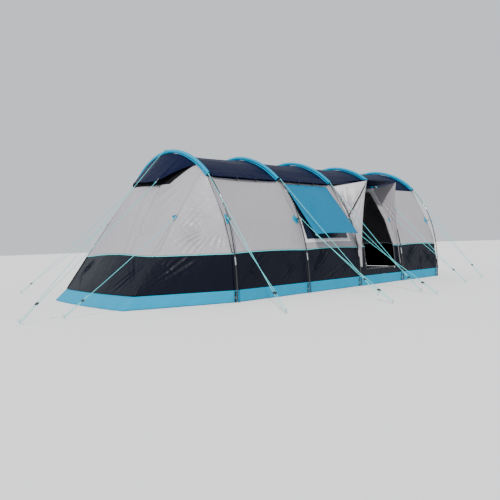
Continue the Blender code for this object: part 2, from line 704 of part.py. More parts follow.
def make_bedroom():
    """Hung inner tent over the rear bay, open at its front partition."""
    tail_width, tail_height = INNER_TAIL
    middle = bedroom_section(INNER_REAR, 0.02, 0.02)
    for p in middle:
        p.z += tail_height * 0.45
    sections = [
        middle,
        bedroom_section(INNER_REAR, tail_width, tail_height),
        bedroom_section(0.0, INNER_HALF_WIDTH, INNER_HEIGHT - 0.06),
        bedroom_section(INNER_FRONT, INNER_HALF_WIDTH, INNER_HEIGHT),
        bedroom_section(INNER_FRONT + 0.001, INNER_HALF_WIDTH, INNER_HEIGHT, shrink=0.8),
    ]
    cloth("bedroom_inner", sections, GREY, closed=True)


# ---- Guy lines ---------------------------------------------------------------------------------
def leg_tab(hoop, height, side=-1, along=0.0):
    """Where a line is tied, just outside a pole and beside it by along."""
    point = hoop_point(hoop, hoop_angle(height), -TAB_STAND_OFF)
    return Vector((point.x + along, side * abs(point.y), point.z))


def seam_tab(side, height=1.09):
    """Where a line is tied on the rear wall's corner seam."""
    rows = end_wall_rows(ENDS["rear"], BAND_HEIGHT + SEAM_GAP, levels=12)
    column = SIDE_STEPS if side < 0 else SIDE_STEPS + END_STEPS
    point = min((row[column] for row in rows), key=lambda p: abs(p.z - height))
    return point + Vector((-0.016, side * 0.010, 0))


def line_ties():
    """The tie points of every guy line: two for a forked line, one for a plain one."""
    high = SLEEVE_END_HEIGHT - 0.015
    ties = {}
    for i, x in enumerate(HOOP_X):
        name = f"front_{i + 1}"
        beside = math.copysign(TAB_SIDE, PEGS[name][0] - x)
        ties[name] = [leg_tab(i, height, along=beside) for height in (high, TAB_HEIGHT)]
    ties["rear_far"] = [leg_tab(0, high, side=1, along=-TAB_SIDE), seam_tab(1)]
    crown = Vector((hoop_x(0, CROWN_HEIGHT) - 0.030, 0.0, CROWN_HEIGHT + SLEEVE_RADIUS + 0.006))
    ties["crown"] = [crown, hood_point(*HOOD_PEAK, 1.0) + Vector((-0.016, -0.008, -0.008))]
    ties["rear_near"] = [seam_tab(-1)]
    for name, corner in zip(("awning_rear", "awning_front"), awning_corners()):
        peg = Vector((*PEGS[name], PEG_GRIP))
        ties[name] = [corner + (peg - corner).normalized() * 0.014]
    return ties


def line_axes(name, ties):
    """A line's peg point, its direction up from the peg, and the direction between its strands."""
    peg = Vector((*PEGS[name], PEG_GRIP))
    aim = sum(ties, Vector()) / len(ties)
    up = (aim - peg).normalized()
    across = up.cross(Vector((0, 0, 1))).normalized()
    if len(ties) == 2 and across.dot(ties[0] - ties[1]) < 0:
        across = -across
    return peg, up, across


def line_route(ties, peg, up, across):
    """Centre line of a guy line: down one strand, round the peg, and up the other."""
    runner = peg + up * RUNNER_DISTANCE
    past = RUNNER_LENGTH / 2 + 0.012
    level = math.hypot(up.x, up.y)
    turn = peg + up * (STRAND_OFFSET - (CORD_RADIUS + PEG_RADIUS + PEG_CLEARANCE) / level)
    beside = across * STRAND_OFFSET

    def leg(tie, sign):
        """From a tie down to the runner's mouth."""
        mouth = runner + beside * sign + up * past
        points = []
        steps = 5
        for k in range(steps):
            share = k / steps
            p = tie.lerp(mouth, share)
            p.z -= CORD_SAG * mid_bay(share)
            points.append(p)
        near = mouth.lerp(tie, 0.02)
        return points + [near, mouth]

    route = leg(ties[0], 1)
    route.append(runner + beside - up * past)
    for k in range(BEND_STEPS + 1):
        angle = math.pi * k / BEND_STEPS
        route.append(turn + beside * math.cos(angle) - up * STRAND_OFFSET * math.sin(angle))
    route.append(runner - beside - up * past)
    if len(ties) == 2:
        route += leg(ties[1], -1)[::-1]
    else:
        route.append(runner - beside + up * past)
        route.append(runner - beside + up * (past + TAIL_LENGTH))
    return route


def make_runner(name, centre, up, across):
    """Flat slider with one bore for each strand."""
    curve = bpy.data.curves.new(name, "CURVE")
    curve.dimensions = "2D"
    curve.fill_mode = "BOTH"
    curve.extrude = RUNNER_LENGTH / 2
    end = RUNNER_HALF_WIDTH - RUNNER_HALF_THICKNESS
    outline = []
    for side in (1, -1):
        for k in range(5):
            angle = math.pi * (k / 4 - 0.5) if side > 0 else math.pi * (k / 4 + 0.5)
            outline.append((side * end + RUNNER_HALF_THICKNESS * math.cos(angle),
                            RUNNER_HALF_THICKNESS * math.sin(angle)))
    bore = CORD_RADIUS + BORE_CLEARANCE
    holes = []
    for side in (1, -1):
        holes.append([(side * STRAND_OFFSET + bore * math.cos(math.tau * k / 8),
                       bore * math.sin(math.tau * k / 8)) for k in range(8)])
    for points in [outline] + holes:
        spline = curve.splines.new("POLY")
        spline.use_cyclic_u = True
        spline.points.add(len(points) - 1)
        for knot, (x, y) in zip(spline.points, points):
            knot.co = (x, y, 0.0, 1.0)
    made = add_object(name, curve, (BLACK, 0.45))
    third = up.cross(across)
    frame = Matrix((across, third, up)).transposed()
    made.rotation_euler = frame.to_euler()
    made.location = centre


def make_peg(name, foot, out):
    """The part of a bent wire peg that stands above the ground."""
    profile = ((0.0, 0.0), (0.0, 0.012), (0.0, 0.034), (0.004, 0.043), (0.012, 0.048),
               (0.021, 0.045), (0.026, 0.037), (0.027, 0.028))
    points = [Vector((foot[0], foot[1], 0.0)) + out * a + Vector((0, 0, z)) for a, z in profile]
    tube(name, points, PEG_RADIUS, (STEEL, 0.35, 1.0), resolution=1)


def make_guy_lines():
    for name, ties in line_ties().items():
        peg, up, across = line_axes(name, ties)
        tube(f"guy_line_{name}", line_route(ties, peg, up, across), CORD_RADIUS, (MINT, 0.6))
        make_runner(f"guy_runner_{name}", peg + up * RUNNER_DISTANCE, up, across)
        out = Vector((-up.x, -up.y, 0)).normalized()
        make_peg(f"guy_peg_{name}", PEGS[name], out)


# ---- Assembly ----------------------------------------------------------------------------------
def clear_scene():
    for item in list(bpy.data.objects):
        bpy.data.objects.remove(item, do_unlink=True)


def main():
    clear_scene()
    collection = bpy.data.collections.new("tunnel_tent")
    bpy.context.scene.collection.children.link(collection)
    tent = bpy.data.objects.new("tent", None)
    collection.objects.link(tent)
    middle_x, middle_y = base_middle()
    tent.location = (-middle_x, -middle_y, 0.0)
    for index in range(len(HOOP_X)):
        make_hoop(index)
    make_roof()
    make_window_wall()
    make_door_wall()
    make_back_wall()
    make_end_walls()
    make_mud_wall()
    make_skirt()
    make_groundsheet()
    make_porch()
    make_door()
    make_awning()
    make_vents()
    make_hood()
    make_bedroom()
    make_guy_lines()


main()
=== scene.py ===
"""Five-hoop tunnel tent: fly sheet, porch, awning, vents, inner tent, poles, fittings and guy lines.

Tent coordinates, in metres: x runs along the tent from the foot of the rear hoop, y across it with
the door side at -y, and z up from the ground. ORIGIN moves them to the frame's own coordinates.
"""
import math

import bmesh
import bpy
import numpy as np
from bpy.props import FloatProperty, FloatVectorProperty, PointerProperty
from mathutils import Matrix, Vector


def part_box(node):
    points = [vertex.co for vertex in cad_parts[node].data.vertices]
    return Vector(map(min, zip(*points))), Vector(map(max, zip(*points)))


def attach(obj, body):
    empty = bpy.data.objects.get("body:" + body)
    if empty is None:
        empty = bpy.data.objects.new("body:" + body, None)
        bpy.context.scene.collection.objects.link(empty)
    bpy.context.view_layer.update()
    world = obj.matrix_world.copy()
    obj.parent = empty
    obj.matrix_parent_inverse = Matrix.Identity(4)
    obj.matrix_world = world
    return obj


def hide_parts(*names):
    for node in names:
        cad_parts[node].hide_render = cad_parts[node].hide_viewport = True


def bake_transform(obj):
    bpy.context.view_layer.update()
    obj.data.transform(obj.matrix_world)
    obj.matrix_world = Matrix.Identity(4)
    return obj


bl_info = {
    "name": "Tunnel Tent",
    "version": (1, 0, 0),
    "blender": (4, 5, 0),
    "location": "View3D > Sidebar > Tent",
    "description": "Builds the cloth, poles, fittings and guy lines of a five-hoop tunnel tent",
    "category": "Add Mesh",
}

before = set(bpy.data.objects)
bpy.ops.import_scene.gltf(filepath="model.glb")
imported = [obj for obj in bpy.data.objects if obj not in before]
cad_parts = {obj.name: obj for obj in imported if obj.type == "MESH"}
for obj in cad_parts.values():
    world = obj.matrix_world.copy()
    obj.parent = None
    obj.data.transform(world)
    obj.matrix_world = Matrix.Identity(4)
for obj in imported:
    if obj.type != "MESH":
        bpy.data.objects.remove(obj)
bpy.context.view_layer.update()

# ---- Driving dimensions, shared with the frame -------------------------------------------------
BAYS = (1.35, 1.20, 1.20, 1.15)                 # spacing of the five hoops' feet, rear to front
HOOP_LEAN = (0.0, -0.08, -0.10, -0.08, 0.08)    # how far each crown stands along x from its feet
CROWN_HEIGHT = 2.10
FOOT_WIDTH = 3.00
HOOP_SIDE_POWER = 1.08                          # roundness of a hoop: 1 and 1 would be an ellipse
HOOP_RISE_POWER = 0.75
POLE_RADIUS = 0.008
SLEEVE_RADIUS = 0.026
SLEEVE_END_HEIGHT = 1.67
SEAM_GAP = 0.006
ROOF_INSET = 0.032
ROOF_SAG = 0.030
WALL_SAG = 0.020
WALL_TOP_DROP = 0.014
SKIRT_HEIGHT = 0.155
BAND_HEIGHT = 0.62                              # top of the dark mud wall
TAB_HEIGHT = 1.06                               # guy tabs half way up a hoop's leg
FOOT_TUCK = 0.038                               # wall inside the pole at the foot
BAND_TUCK = 0.070
TAB_TUCK = 0.075
RIDGE_TOP = 1.72                                # where an end wall's corner seam meets its hoop
DOOR_BAY = 2
DOOR_MARGINS = (0.22, 0.18)                     # door opening from the hoops on either side
DOOR_SILL = 0.27
DOOR_TOP = 1.54
DOOR_GAP = 0.012
DOOR_OPEN_ANGLE = 94.0
LEAF_LIFT = 0.058
PORCH_REAR = (0.29, 0.05, 1.68)                 # outer corners of the porch roof: past their hoop,
PORCH_FRONT = (-0.09, 0.05, 1.69)               # inside the line of the feet, and height
PORCH_HEM = 0.30
PORCH_STAND_OFF = 0.034
PORCH_RISE = 0.07
PORCH_GAP = 0.012                               # porch cloth from the wall
PORCH_SPLAY = 0.02                              # a side panel's outer foot, away from its hoop
PORCH_TOP_DROP = 0.02                           # side panels end below the walls' top
PORCH_ROOF_CLEARANCE = 0.014                    # porch roof above its side panels
PORCH_ROOF_MARGIN = 0.066                       # porch roof's rear edge from the hoops
PORCH_ROOF_BACK = 0.72                          # slope of the roof that its arch follows
WINDOW_BAY = 1
WINDOW_MARGIN = 0.10
WINDOW_RISE = 0.12                              # sill above the mud wall
WINDOW_TOP = 1.50
AWNING_MARGIN = 0.107
AWNING_TOP = 1.598
AWNING_STAND_OFF = 0.012
AWNING_LENGTH = 0.98
AWNING_ANGLE = 38.4
VENT_BAYS = (0, 1)
VENT_MARGIN = 0.06
VENT_TOP_HEIGHT = 1.75
VENT_INSET = 0.020
VENT_LENGTH = 0.150
VENT_ANGLE = 52.0
HOOD_CLEARANCE = 0.020
HOOD_LIFT = 0.110
HOOD_FAR = (1.0, 0.94)                          # corners of the hood's lower edge, as
HOOD_PEAK = (-0.45, 0.715)                      # (share across, share up from the mud wall)
HOOD_NEAR = (-0.86, 1.0)
INNER_FRONT = 1.20
INNER_REAR = -0.70
INNER_HALF_WIDTH = 1.28
INNER_HEIGHT = 1.84
INNER_TAIL = (0.90, 0.56)
INNER_FLOOR = 0.012
CORD_RADIUS = 0.003
CORD_SAG = 0.010
STRAND_OFFSET = 0.014
RUNNER_DISTANCE = 0.26
RUNNER_LENGTH = 0.034
RUNNER_HALF_WIDTH = 0.023
RUNNER_HALF_THICKNESS = 0.007
BORE_CLEARANCE = 0.0008
TAIL_LENGTH = 0.045
PEG_RADIUS = 0.0035
PEG_GRIP = 0.022
PEG_CLEARANCE = 0.0012
TAB_STAND_OFF = 0.017
TAB_SIDE = 0.022
SEAM_TAB_HEIGHT = 1.09                          # tie on the rear wall's corner seams
LEG_PEGS = (                                    # pegs of the legs' lines: along from their hoop's
    (-0.32, 1.15), (0.22, 0.98), (-0.36, 1.23), (0.03, 1.08), (-0.05, 0.85),    # foot, and out
)
OTHER_PEGS = {                                  # where the other lines' pegs enter the ground
    "rear_far": (-1.25, 2.70), "crown": (-2.45, -1.02), "rear_near": (-2.01, -1.04),
    "awning_rear": (0.94, -3.11), "awning_front": (2.01, -3.06),
}
ENDS = {                                        # each end wall's corner seam, as (height, distance)
    "rear": dict(hoop=0, out=-1, bulge=0.06, corner=((0.0, 1.00), (BAND_HEIGHT, 0.97)),
                 reach=((0.0, 1.32), (SKIRT_HEIGHT, 1.15), (BAND_HEIGHT, 0.83), (1.09, 0.49),
                        (RIDGE_TOP, 0.0))),
    "front": dict(hoop=4, out=1, bulge=0.05, corner=((0.0, 1.40), (BAND_HEIGHT, 1.38)),
                  reach=((0.0, 0.16), (SKIRT_HEIGHT, 0.21), (BAND_HEIGHT, 0.05), (RIDGE_TOP, 0.0))),
}
LAST = len(BAYS)                                # index of the front hoop
HOOP_X = np.concatenate([[0.0], np.cumsum(BAYS)])
HALF_WIDTH = FOOT_WIDTH / 2
WINDOW_SILL = BAND_HEIGHT + WINDOW_RISE
PEGS = {f"front_{i + 1}": (HOOP_X[i] + along, -(HALF_WIDTH + out))
        for i, (along, out) in enumerate(LEG_PEGS)} | OTHER_PEGS
LOWEST = BAND_HEIGHT + SEAM_GAP                 # lower edge of the grey walls
USUAL_BAY = 1.2                                 # turns metres into hoops where a bay's own isn't needed
SHEET_SHARE = 0.98                              # groundsheet's size, as a share of the skirt's foot
CLOTH_WELD = 0.0002                             # points of cloth and of solid pieces closer than
SOLID_WELD = 0.00001                            # these are joined
SHARP_ANGLE = math.radians(50)


def frame_origin():
    """Where tent coordinates start: the middle of the rear hoop, which stands upright."""
    low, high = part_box("pole_hoop_1")
    middle = (low + high) / 2
    return np.array([middle.x, middle.y, 0.0])


ORIGIN = frame_origin()


# ---- The tent's surfaces, for arrays of parameters -----------------------------------------------
def xyz(x, y, z):
    return np.stack(np.broadcast_arrays(x, y, z), axis=-1).astype(float)


def unit(v):
    v = np.asarray(v, float)
    return v / np.maximum(np.linalg.norm(v, axis=-1, keepdims=True), 1e-12)


def knots(pairs, value):
    """Piecewise linear value between (position, value) knots."""
    return np.interp(value, [p[0] for p in pairs], [p[1] for p in pairs])


def hoop_angle(height):
    return np.arcsin(np.clip(np.asarray(height) / CROWN_HEIGHT, 0, 1) ** (1 / HOOP_RISE_POWER))


def hoop_section(angle):
    """Pole centre line in the hoop's own plane, as (y, z)."""
    c = np.cos(angle)
    return (-np.sign(c) * np.abs(c) ** HOOP_SIDE_POWER * HALF_WIDTH,
            np.abs(np.sin(angle)) ** HOOP_RISE_POWER * CROWN_HEIGHT)


def arch(angle, inset):
    """The same line moved square to itself, towards the inside, by inset."""
    step = 0.01
    y0, z0 = hoop_section(np.maximum(angle - step, 1e-6))
    y1, z1 = hoop_section(np.minimum(angle + step, math.pi - 1e-6))
    y, z = hoop_section(angle)
    length = np.hypot(y1 - y0, z1 - z0)
    return y + inset * (z1 - z0) / length, z - inset * (y1 - y0) / length


def hoop_x(along, height):
    """x at a place along the tent counted in hoops, so 1.5 is half way along the second bay."""
    hoops = range(LAST + 1)
    return np.interp(along, hoops, HOOP_X) + np.interp(along, hoops, HOOP_LEAN) * height / CROWN_HEIGHT


def hoop_point(along, angle, inset=0.0):
    y, z = arch(angle, inset)
    return xyz(hoop_x(along, z), y, z)


def mid_bay(along):
    """How much of its sag the cloth has: 0 at a hoop and 1 half way to the next."""
    share = np.asarray(along) % 1.0
    return 4 * share * (1 - share)


SLEEVE_END = float(hoop_angle(SLEEVE_END_HEIGHT))
ROOF_EDGE = hoop_point(0, SLEEVE_END, ROOF_INSET)
WALL_TOP = ROOF_EDGE[2] - WALL_TOP_DROP
POLE_AT_TAB = abs(hoop_section(hoop_angle(TAB_HEIGHT))[0])
WALL_KNOTS = (
    (0.0, HALF_WIDTH - FOOT_TUCK), (SKIRT_HEIGHT, HALF_WIDTH - FOOT_TUCK),
    (BAND_HEIGHT, HALF_WIDTH - BAND_TUCK), (TAB_HEIGHT, POLE_AT_TAB - TAB_TUCK),
    (WALL_TOP, -ROOF_EDGE[1] + WALL_TOP_DROP / 3),
)


def wall_y(height):
    return knots(WALL_KNOTS, height)


def wall_point(along, height, side=-1, stand_off=0.0):
    above_band = np.maximum(0.0, np.asarray(height) - BAND_HEIGHT) / (WALL_TOP - BAND_HEIGHT)
    y = wall_y(height) - WALL_SAG * mid_bay(along) * above_band + stand_off
    return xyz(hoop_x(along, height), side * y, height)


def roof_point(along, angle, inset=ROOF_INSET):
    y, z = arch(angle, inset)
    x = hoop_x(along, z)
    rise = (np.sin(angle) - math.sin(SLEEVE_END)) / (1 - math.sin(SLEEVE_END))
    return xyz(x, y + WALL_SAG * mid_bay(along) * np.cos(angle) / math.cos(SLEEVE_END),
               z - ROOF_SAG * mid_bay(along) * rise)


RIDGE_Y = abs(arch(hoop_angle(RIDGE_TOP + ROOF_INSET), ROOF_INSET)[0])
TOP_ANGLES = np.linspace(math.pi / 2, hoop_angle(RIDGE_TOP + ROOF_INSET), 60)
TOP_Y, TOP_Z = arch(TOP_ANGLES, ROOF_INSET)


def leg_y(height):
    """Distance of the cloth from the centre line at an end hoop, up to its corner seam's top."""
    share = (np.asarray(height) - WALL_TOP) / (RIDGE_TOP - WALL_TOP)
    return np.where(share <= 0, wall_y(height), wall_y(WALL_TOP) * (1 - share) + RIDGE_Y * share)


def end_wall_point(end, up, across):
    """Middle panel of an end wall: share up from the mud wall, share across from the middle."""
    corner = knots(end["corner"], LOWEST)
    swell = end["bulge"] * (1 - across ** 2)
    foot = knots(end["reach"], LOWEST)
    foot_x = hoop_x(end["hoop"], LOWEST) + end["out"] * (SEAM_GAP + swell + foot)
    top_y = across * RIDGE_Y
    top_z = np.interp(np.abs(top_y), np.abs(TOP_Y), TOP_Z)
    top_x = hoop_x(end["hoop"], top_z) + end["out"] * SEAM_GAP
    ratio = knots(end["reach"], LOWEST + up * (RIDGE_TOP - LOWEST)) / foot
    x = top_x + (foot_x - top_x) * ratio + end["out"] * swell * 4 * up * (1 - up)
    return xyz(x, across * corner * (1 - up) + top_y * up, LOWEST * (1 - up) + top_z * up)


def end_cloth_point(end, q, up):
    """An end wall from leg to leg: q is -2 and 2 at the legs, -1 and 1 at the corner seams."""
    side = np.where(q < 0, -1.0, 1.0)
    height = LOWEST + up * (RIDGE_TOP - LOWEST)
    leg = xyz(hoop_x(end["hoop"], height) + end["out"] * SEAM_GAP, side * leg_y(height), height)
    corner = end_wall_point(end, up, side)
    middle = end_wall_point(end, up, np.clip(q, -1, 1))
    share = np.clip(2 - np.abs(q), 0, 1)[..., None]
    return np.where((np.abs(q) > 1)[..., None], leg + (corner - leg) * share, middle)


def end_level_point(end, q, height):
    """The same round an end below the grey walls."""
    side = np.where(q < 0, -1.0, 1.0)
    x = hoop_x(end["hoop"], height) + end["out"] * SEAM_GAP
    reach = end["out"] * knots(end["reach"], height)
    corner, leg = knots(end["corner"], height), leg_y(height)
    share = np.clip(2 - np.abs(q), 0, 1)
    v = np.clip(q, -1, 1)
    beside = xyz(x + reach * share, side * (leg + (corner - leg) * share), height)
    middle = xyz(x + reach + end["out"] * end["bulge"] * (1 - v * v), v * corner, height)
    return np.where((np.abs(q) > 1)[..., None], beside, middle)


RING_STARTS = (0.0, 4.0, 8.0, 12.0, 16.0)       # near side, front end, far side, rear end


def ring_point(place, height):
    """A level round the whole tent; place counts 4 along each side and 4 round each end."""
    near = wall_point(np.clip(place, 0, 4), height)
    front = end_level_point(ENDS["front"], np.clip(place - 6, -2, 2), height)
    far = wall_point(np.clip(12 - place, 0, 4), height, side=1)
    rear = end_level_point(ENDS["rear"], np.clip(14 - place, -2, 2), height)
    edges = [(place < b)[..., None] for b in RING_STARTS[1:4]]
    return np.where(edges[0], near, np.where(edges[1], front, np.where(edges[2], far, rear)))


# ---- Settings ----------------------------------------------------------------------------------
class TENT_PG_sizes(bpy.types.PropertyGroup):
    """Sizes that change how the tent's cloth and fittings look."""

    cloth: FloatProperty(name="Cloth", description="Thickness of the cloth",
                         default=0.0014, min=0.0004, max=0.003, unit="LENGTH")
    detail: FloatProperty(name="Cloth detail", description="Spacing of the points of the cloth",
                          default=0.017, min=0.008, max=0.1, unit="LENGTH")
    creases: FloatProperty(name="Creases", description="Steepness of the tension creases",
                           default=2.2, min=0.0, max=3.0)
    tape: FloatProperty(name="Seam tape", description="Width of tape over the seams",
                        default=0.022, min=0.01, max=0.05, unit="LENGTH")
    webbing: FloatProperty(name="Webbing", description="Width of webbing straps",
                           default=0.025, min=0.01, max=0.05, unit="LENGTH")
    piping: FloatProperty(name="Piping", description="Diameter of the piping round the mud wall",
                          default=0.009, min=0.003, max=0.02, unit="LENGTH")
    ferrule: FloatProperty(name="Ferrule", description="Length of a pole's metal ferrule",
                           default=0.10, min=0.04, max=0.2, unit="LENGTH")


def colour(name, description, value):
    return FloatVectorProperty(name=name, description=description, default=value, size=3,
                               min=0.0, max=1.0, subtype="COLOR")


class TENT_PG_colours(bpy.types.PropertyGroup):
    """Colours of the cloth, webbing and fittings."""

    grey: colour("Walls", "Grey wall cloth", (0.30, 0.29, 0.315))
    navy: colour("Roof", "Navy roof cloth", (0.0005, 0.0025, 0.022))
    turquoise: colour("Sleeves", "Sleeves and skirt", (0.0, 0.24, 0.41))
    charcoal: colour("Mud wall", "Dark band round the tent", (0.002, 0.003, 0.009))
    teal: colour("Awning", "Window awning", (0.0, 0.14, 0.27))
    mint: colour("Guy lines", "Cord and piping", (0.12, 0.60, 0.64))
    inner: colour("Inner tent", "Breathable inner cloth", (0.30, 0.31, 0.34))
    black: colour("Fittings", "Plastic, webbing and poles", (0.012, 0.012, 0.014))
    steel: colour("Steel", "Pegs, rings and ferrules", (0.55, 0.56, 0.58))


def sizes():
    return bpy.context.scene.tent_sizes


# ---- Finishes ----------------------------------------------------------------------------------
def new_group(name, inputs, outputs):
    """Shader node group with its sockets and its two end nodes."""
    group = bpy.data.node_groups.new(name, "ShaderNodeTree")
    for label, kind, default in inputs:
        socket = group.interface.new_socket(label, in_out="INPUT", socket_type=kind)
        if default is not None:
            socket.default_value = default
    for label, kind in outputs:
        group.interface.new_socket(label, in_out="OUTPUT", socket_type=kind)
    return group, group.nodes.new("NodeGroupInput"), group.nodes.new("NodeGroupOutput")


def maths(group, operation, a, b=None):
    """Math node on two sockets or numbers; gives its output socket."""
    node = group.nodes.new("ShaderNodeMath")
    node.operation = operation
    for index, value in enumerate((a, b)):
        if isinstance(value, bpy.types.NodeSocket):
            group.links.new(value, node.inputs[index])
        elif value is not None:
            node.inputs[index].default_value = value
    return node.outputs[0]


def weave_group():
    """Height of a plain weave: threads over and under, with a heavier thread every few."""
    name = "plain_weave"
    if name in bpy.data.node_groups:
        return bpy.data.node_groups[name]
    group, start, end = new_group(
        name, [("Vector", "NodeSocketVector", None), ("Threads", "NodeSocketFloat", 300.0),
               ("Depth", "NodeSocketFloat", 0.0002)], [("Height", "NodeSocketFloat")])
    split = group.nodes.new("ShaderNodeSeparateXYZ")
    group.links.new(start.outputs["Vector"], split.inputs[0])
    turns = maths(group, "MULTIPLY", start.outputs["Threads"], math.tau / 2)
    waves = []
    for axis in ("X", "Y"):
        waves.append(maths(group, "SINE", maths(group, "MULTIPLY", split.outputs[axis], turns)))
    over = maths(group, "MULTIPLY", waves[0], waves[1])
    ribs = [maths(group, "POWER", maths(group, "ABSOLUTE", w), 8.0) for w in waves]
    rib = maths(group, "MULTIPLY", maths(group, "MAXIMUM", ribs[0], ribs[1]), 0.4)
    total = maths(group, "ADD", over, rib)
    group.links.new(maths(group, "MULTIPLY", total, start.outputs["Depth"]), end.inputs["Height"])
    return group


def crumple_group():
    """Height of fine handling creases left by packing the cloth."""
    name = "packing_creases"
    if name in bpy.data.node_groups:
        return bpy.data.node_groups[name]
    group, start, end = new_group(
        name, [("Vector", "NodeSocketVector", None), ("Scale", "NodeSocketFloat", 6.0),
               ("Depth", "NodeSocketFloat", 0.002)], [("Height", "NodeSocketFloat")])
    noise = group.nodes.new("ShaderNodeTexNoise")
    noise.inputs["Detail"].default_value = 4.0
    noise.inputs["Distortion"].default_value = 0.6
    cells = group.nodes.new("ShaderNodeTexVoronoi")
    cells.feature = "DISTANCE_TO_EDGE"
    for node in (noise, cells):
        group.links.new(start.outputs["Vector"], node.inputs["Vector"])
        group.links.new(start.outputs["Scale"], node.inputs["Scale"])
    edge = maths(group, "MINIMUM", cells.outputs["Distance"], 0.12)
    total = maths(group, "ADD", noise.outputs["Fac"], maths(group, "MULTIPLY", edge, 1.6))
    group.links.new(maths(group, "MULTIPLY", total, start.outputs["Depth"]), end.inputs["Height"])
    return group


def shade_group():
    """Slight unevenness of a dyed cloth's colour and of its sheen."""
    name = "dye_variation"
    if name in bpy.data.node_groups:
        return bpy.data.node_groups[name]
    group, start, end = new_group(
        name, [("Vector", "NodeSocketVector", None), ("Colour", "NodeSocketColor", None),
               ("Amount", "NodeSocketFloat", 0.1), ("Roughness", "NodeSocketFloat", 0.5)],
        [("Colour", "NodeSocketColor"), ("Roughness", "NodeSocketFloat")])
    noise = group.nodes.new("ShaderNodeTexNoise")
    noise.inputs["Scale"].default_value = 2.2
    noise.inputs["Detail"].default_value = 5.0
    group.links.new(start.outputs["Vector"], noise.inputs["Vector"])
    centred = maths(group, "SUBTRACT", noise.outputs["Fac"], 0.5)
    change = maths(group, "MULTIPLY", centred, start.outputs["Amount"])
    value = maths(group, "ADD", maths(group, "MULTIPLY", change, 2.0), 1.0)
    mix = group.nodes.new("ShaderNodeHueSaturation")
    group.links.new(start.outputs["Colour"], mix.inputs["Color"])
    group.links.new(value, mix.inputs["Value"])
    group.links.new(mix.outputs["Color"], end.inputs["Colour"])
    rough = maths(group, "ADD", start.outputs["Roughness"], change)
    group.links.new(rough, end.inputs["Roughness"])
    return group


def add_group(tree, group, **values):
    node = tree.nodes.new("ShaderNodeGroup")
    node.node_tree = group
    for name, value in values.items():
        node.inputs[name.capitalize()].default_value = value
    return node


def new_material(name, tint, amount, roughness):
    """Principled material whose colour and roughness vary a little over the piece."""
    made = bpy.data.materials.new(name)
    made.use_nodes = True
    tree = made.node_tree
    shader = tree.nodes["Principled BSDF"]
    place = tree.nodes.new("ShaderNodeTexCoord")
    shade = add_group(tree, shade_group(), colour=(*tint, 1.0), amount=amount, roughness=roughness)
    tree.links.new(place.outputs["Object"], shade.inputs["Vector"])
    tree.links.new(shade.outputs["Colour"], shader.inputs["Base Color"])
    tree.links.new(shade.outputs["Roughness"], shader.inputs["Roughness"])
    return made, tree, shader, place


def fabric(name, tint, roughness=0.5, sheen=0.0, ior=1.2, threads=320.0, weave=0.00012, crumple=0.004,
           scale=7.0, vary=0.06):
    """Woven synthetic cloth: a dyed colour, its weave and the creases of packing."""
    if name in bpy.data.materials:
        return bpy.data.materials[name]
    made, tree, shader, place = new_material(name, tint, vary, roughness)
    shader.inputs["Sheen Weight"].default_value = sheen
    shader.inputs["IOR"].default_value = ior
    shader.inputs["Sheen Roughness"].default_value = 0.4
    threads_node = add_group(tree, weave_group(), threads=threads, depth=weave)
    crumple_node = add_group(tree, crumple_group(), scale=scale, depth=crumple)
    bump = tree.nodes.new("ShaderNodeBump")
    bump.inputs["Distance"].default_value = 1.0
    bump.inputs["Strength"].default_value = 1.0
    link = tree.links.new
    link(place.outputs["Object"], crumple_node.inputs["Vector"])
    link(place.outputs["UV"], threads_node.inputs["Vector"])
    link(maths(tree, "ADD", threads_node.outputs["Height"], crumple_node.outputs["Height"]),
         bump.inputs["Height"])
    link(bump.outputs["Normal"], shader.inputs["Normal"])
    return made


def plain(name, tint, roughness, metallic=0.0, coat=0.0, grain=0.0, scale=60.0):
    """Solid material with a little grain in its surface."""
    if name in bpy.data.materials:
        return bpy.data.materials[name]
    made, tree, shader, place = new_material(name, tint, 0.08, roughness)
    shader.inputs["Base Color"].default_value = (*tint, 1.0)
    shader.inputs["Metallic"].default_value = metallic
    shader.inputs["Coat Weight"].default_value = coat
    shader.inputs["Coat Roughness"].default_value = 0.08
    if grain:
        creases = add_group(tree, crumple_group(), scale=scale, depth=grain)
        bump = tree.nodes.new("ShaderNodeBump")
        bump.inputs["Distance"].default_value = 1.0
        tree.links.new(place.outputs["Object"], creases.inputs["Vector"])
        tree.links.new(creases.outputs["Height"], bump.inputs["Height"])
        tree.links.new(bump.outputs["Normal"], shader.inputs["Normal"])
    return made


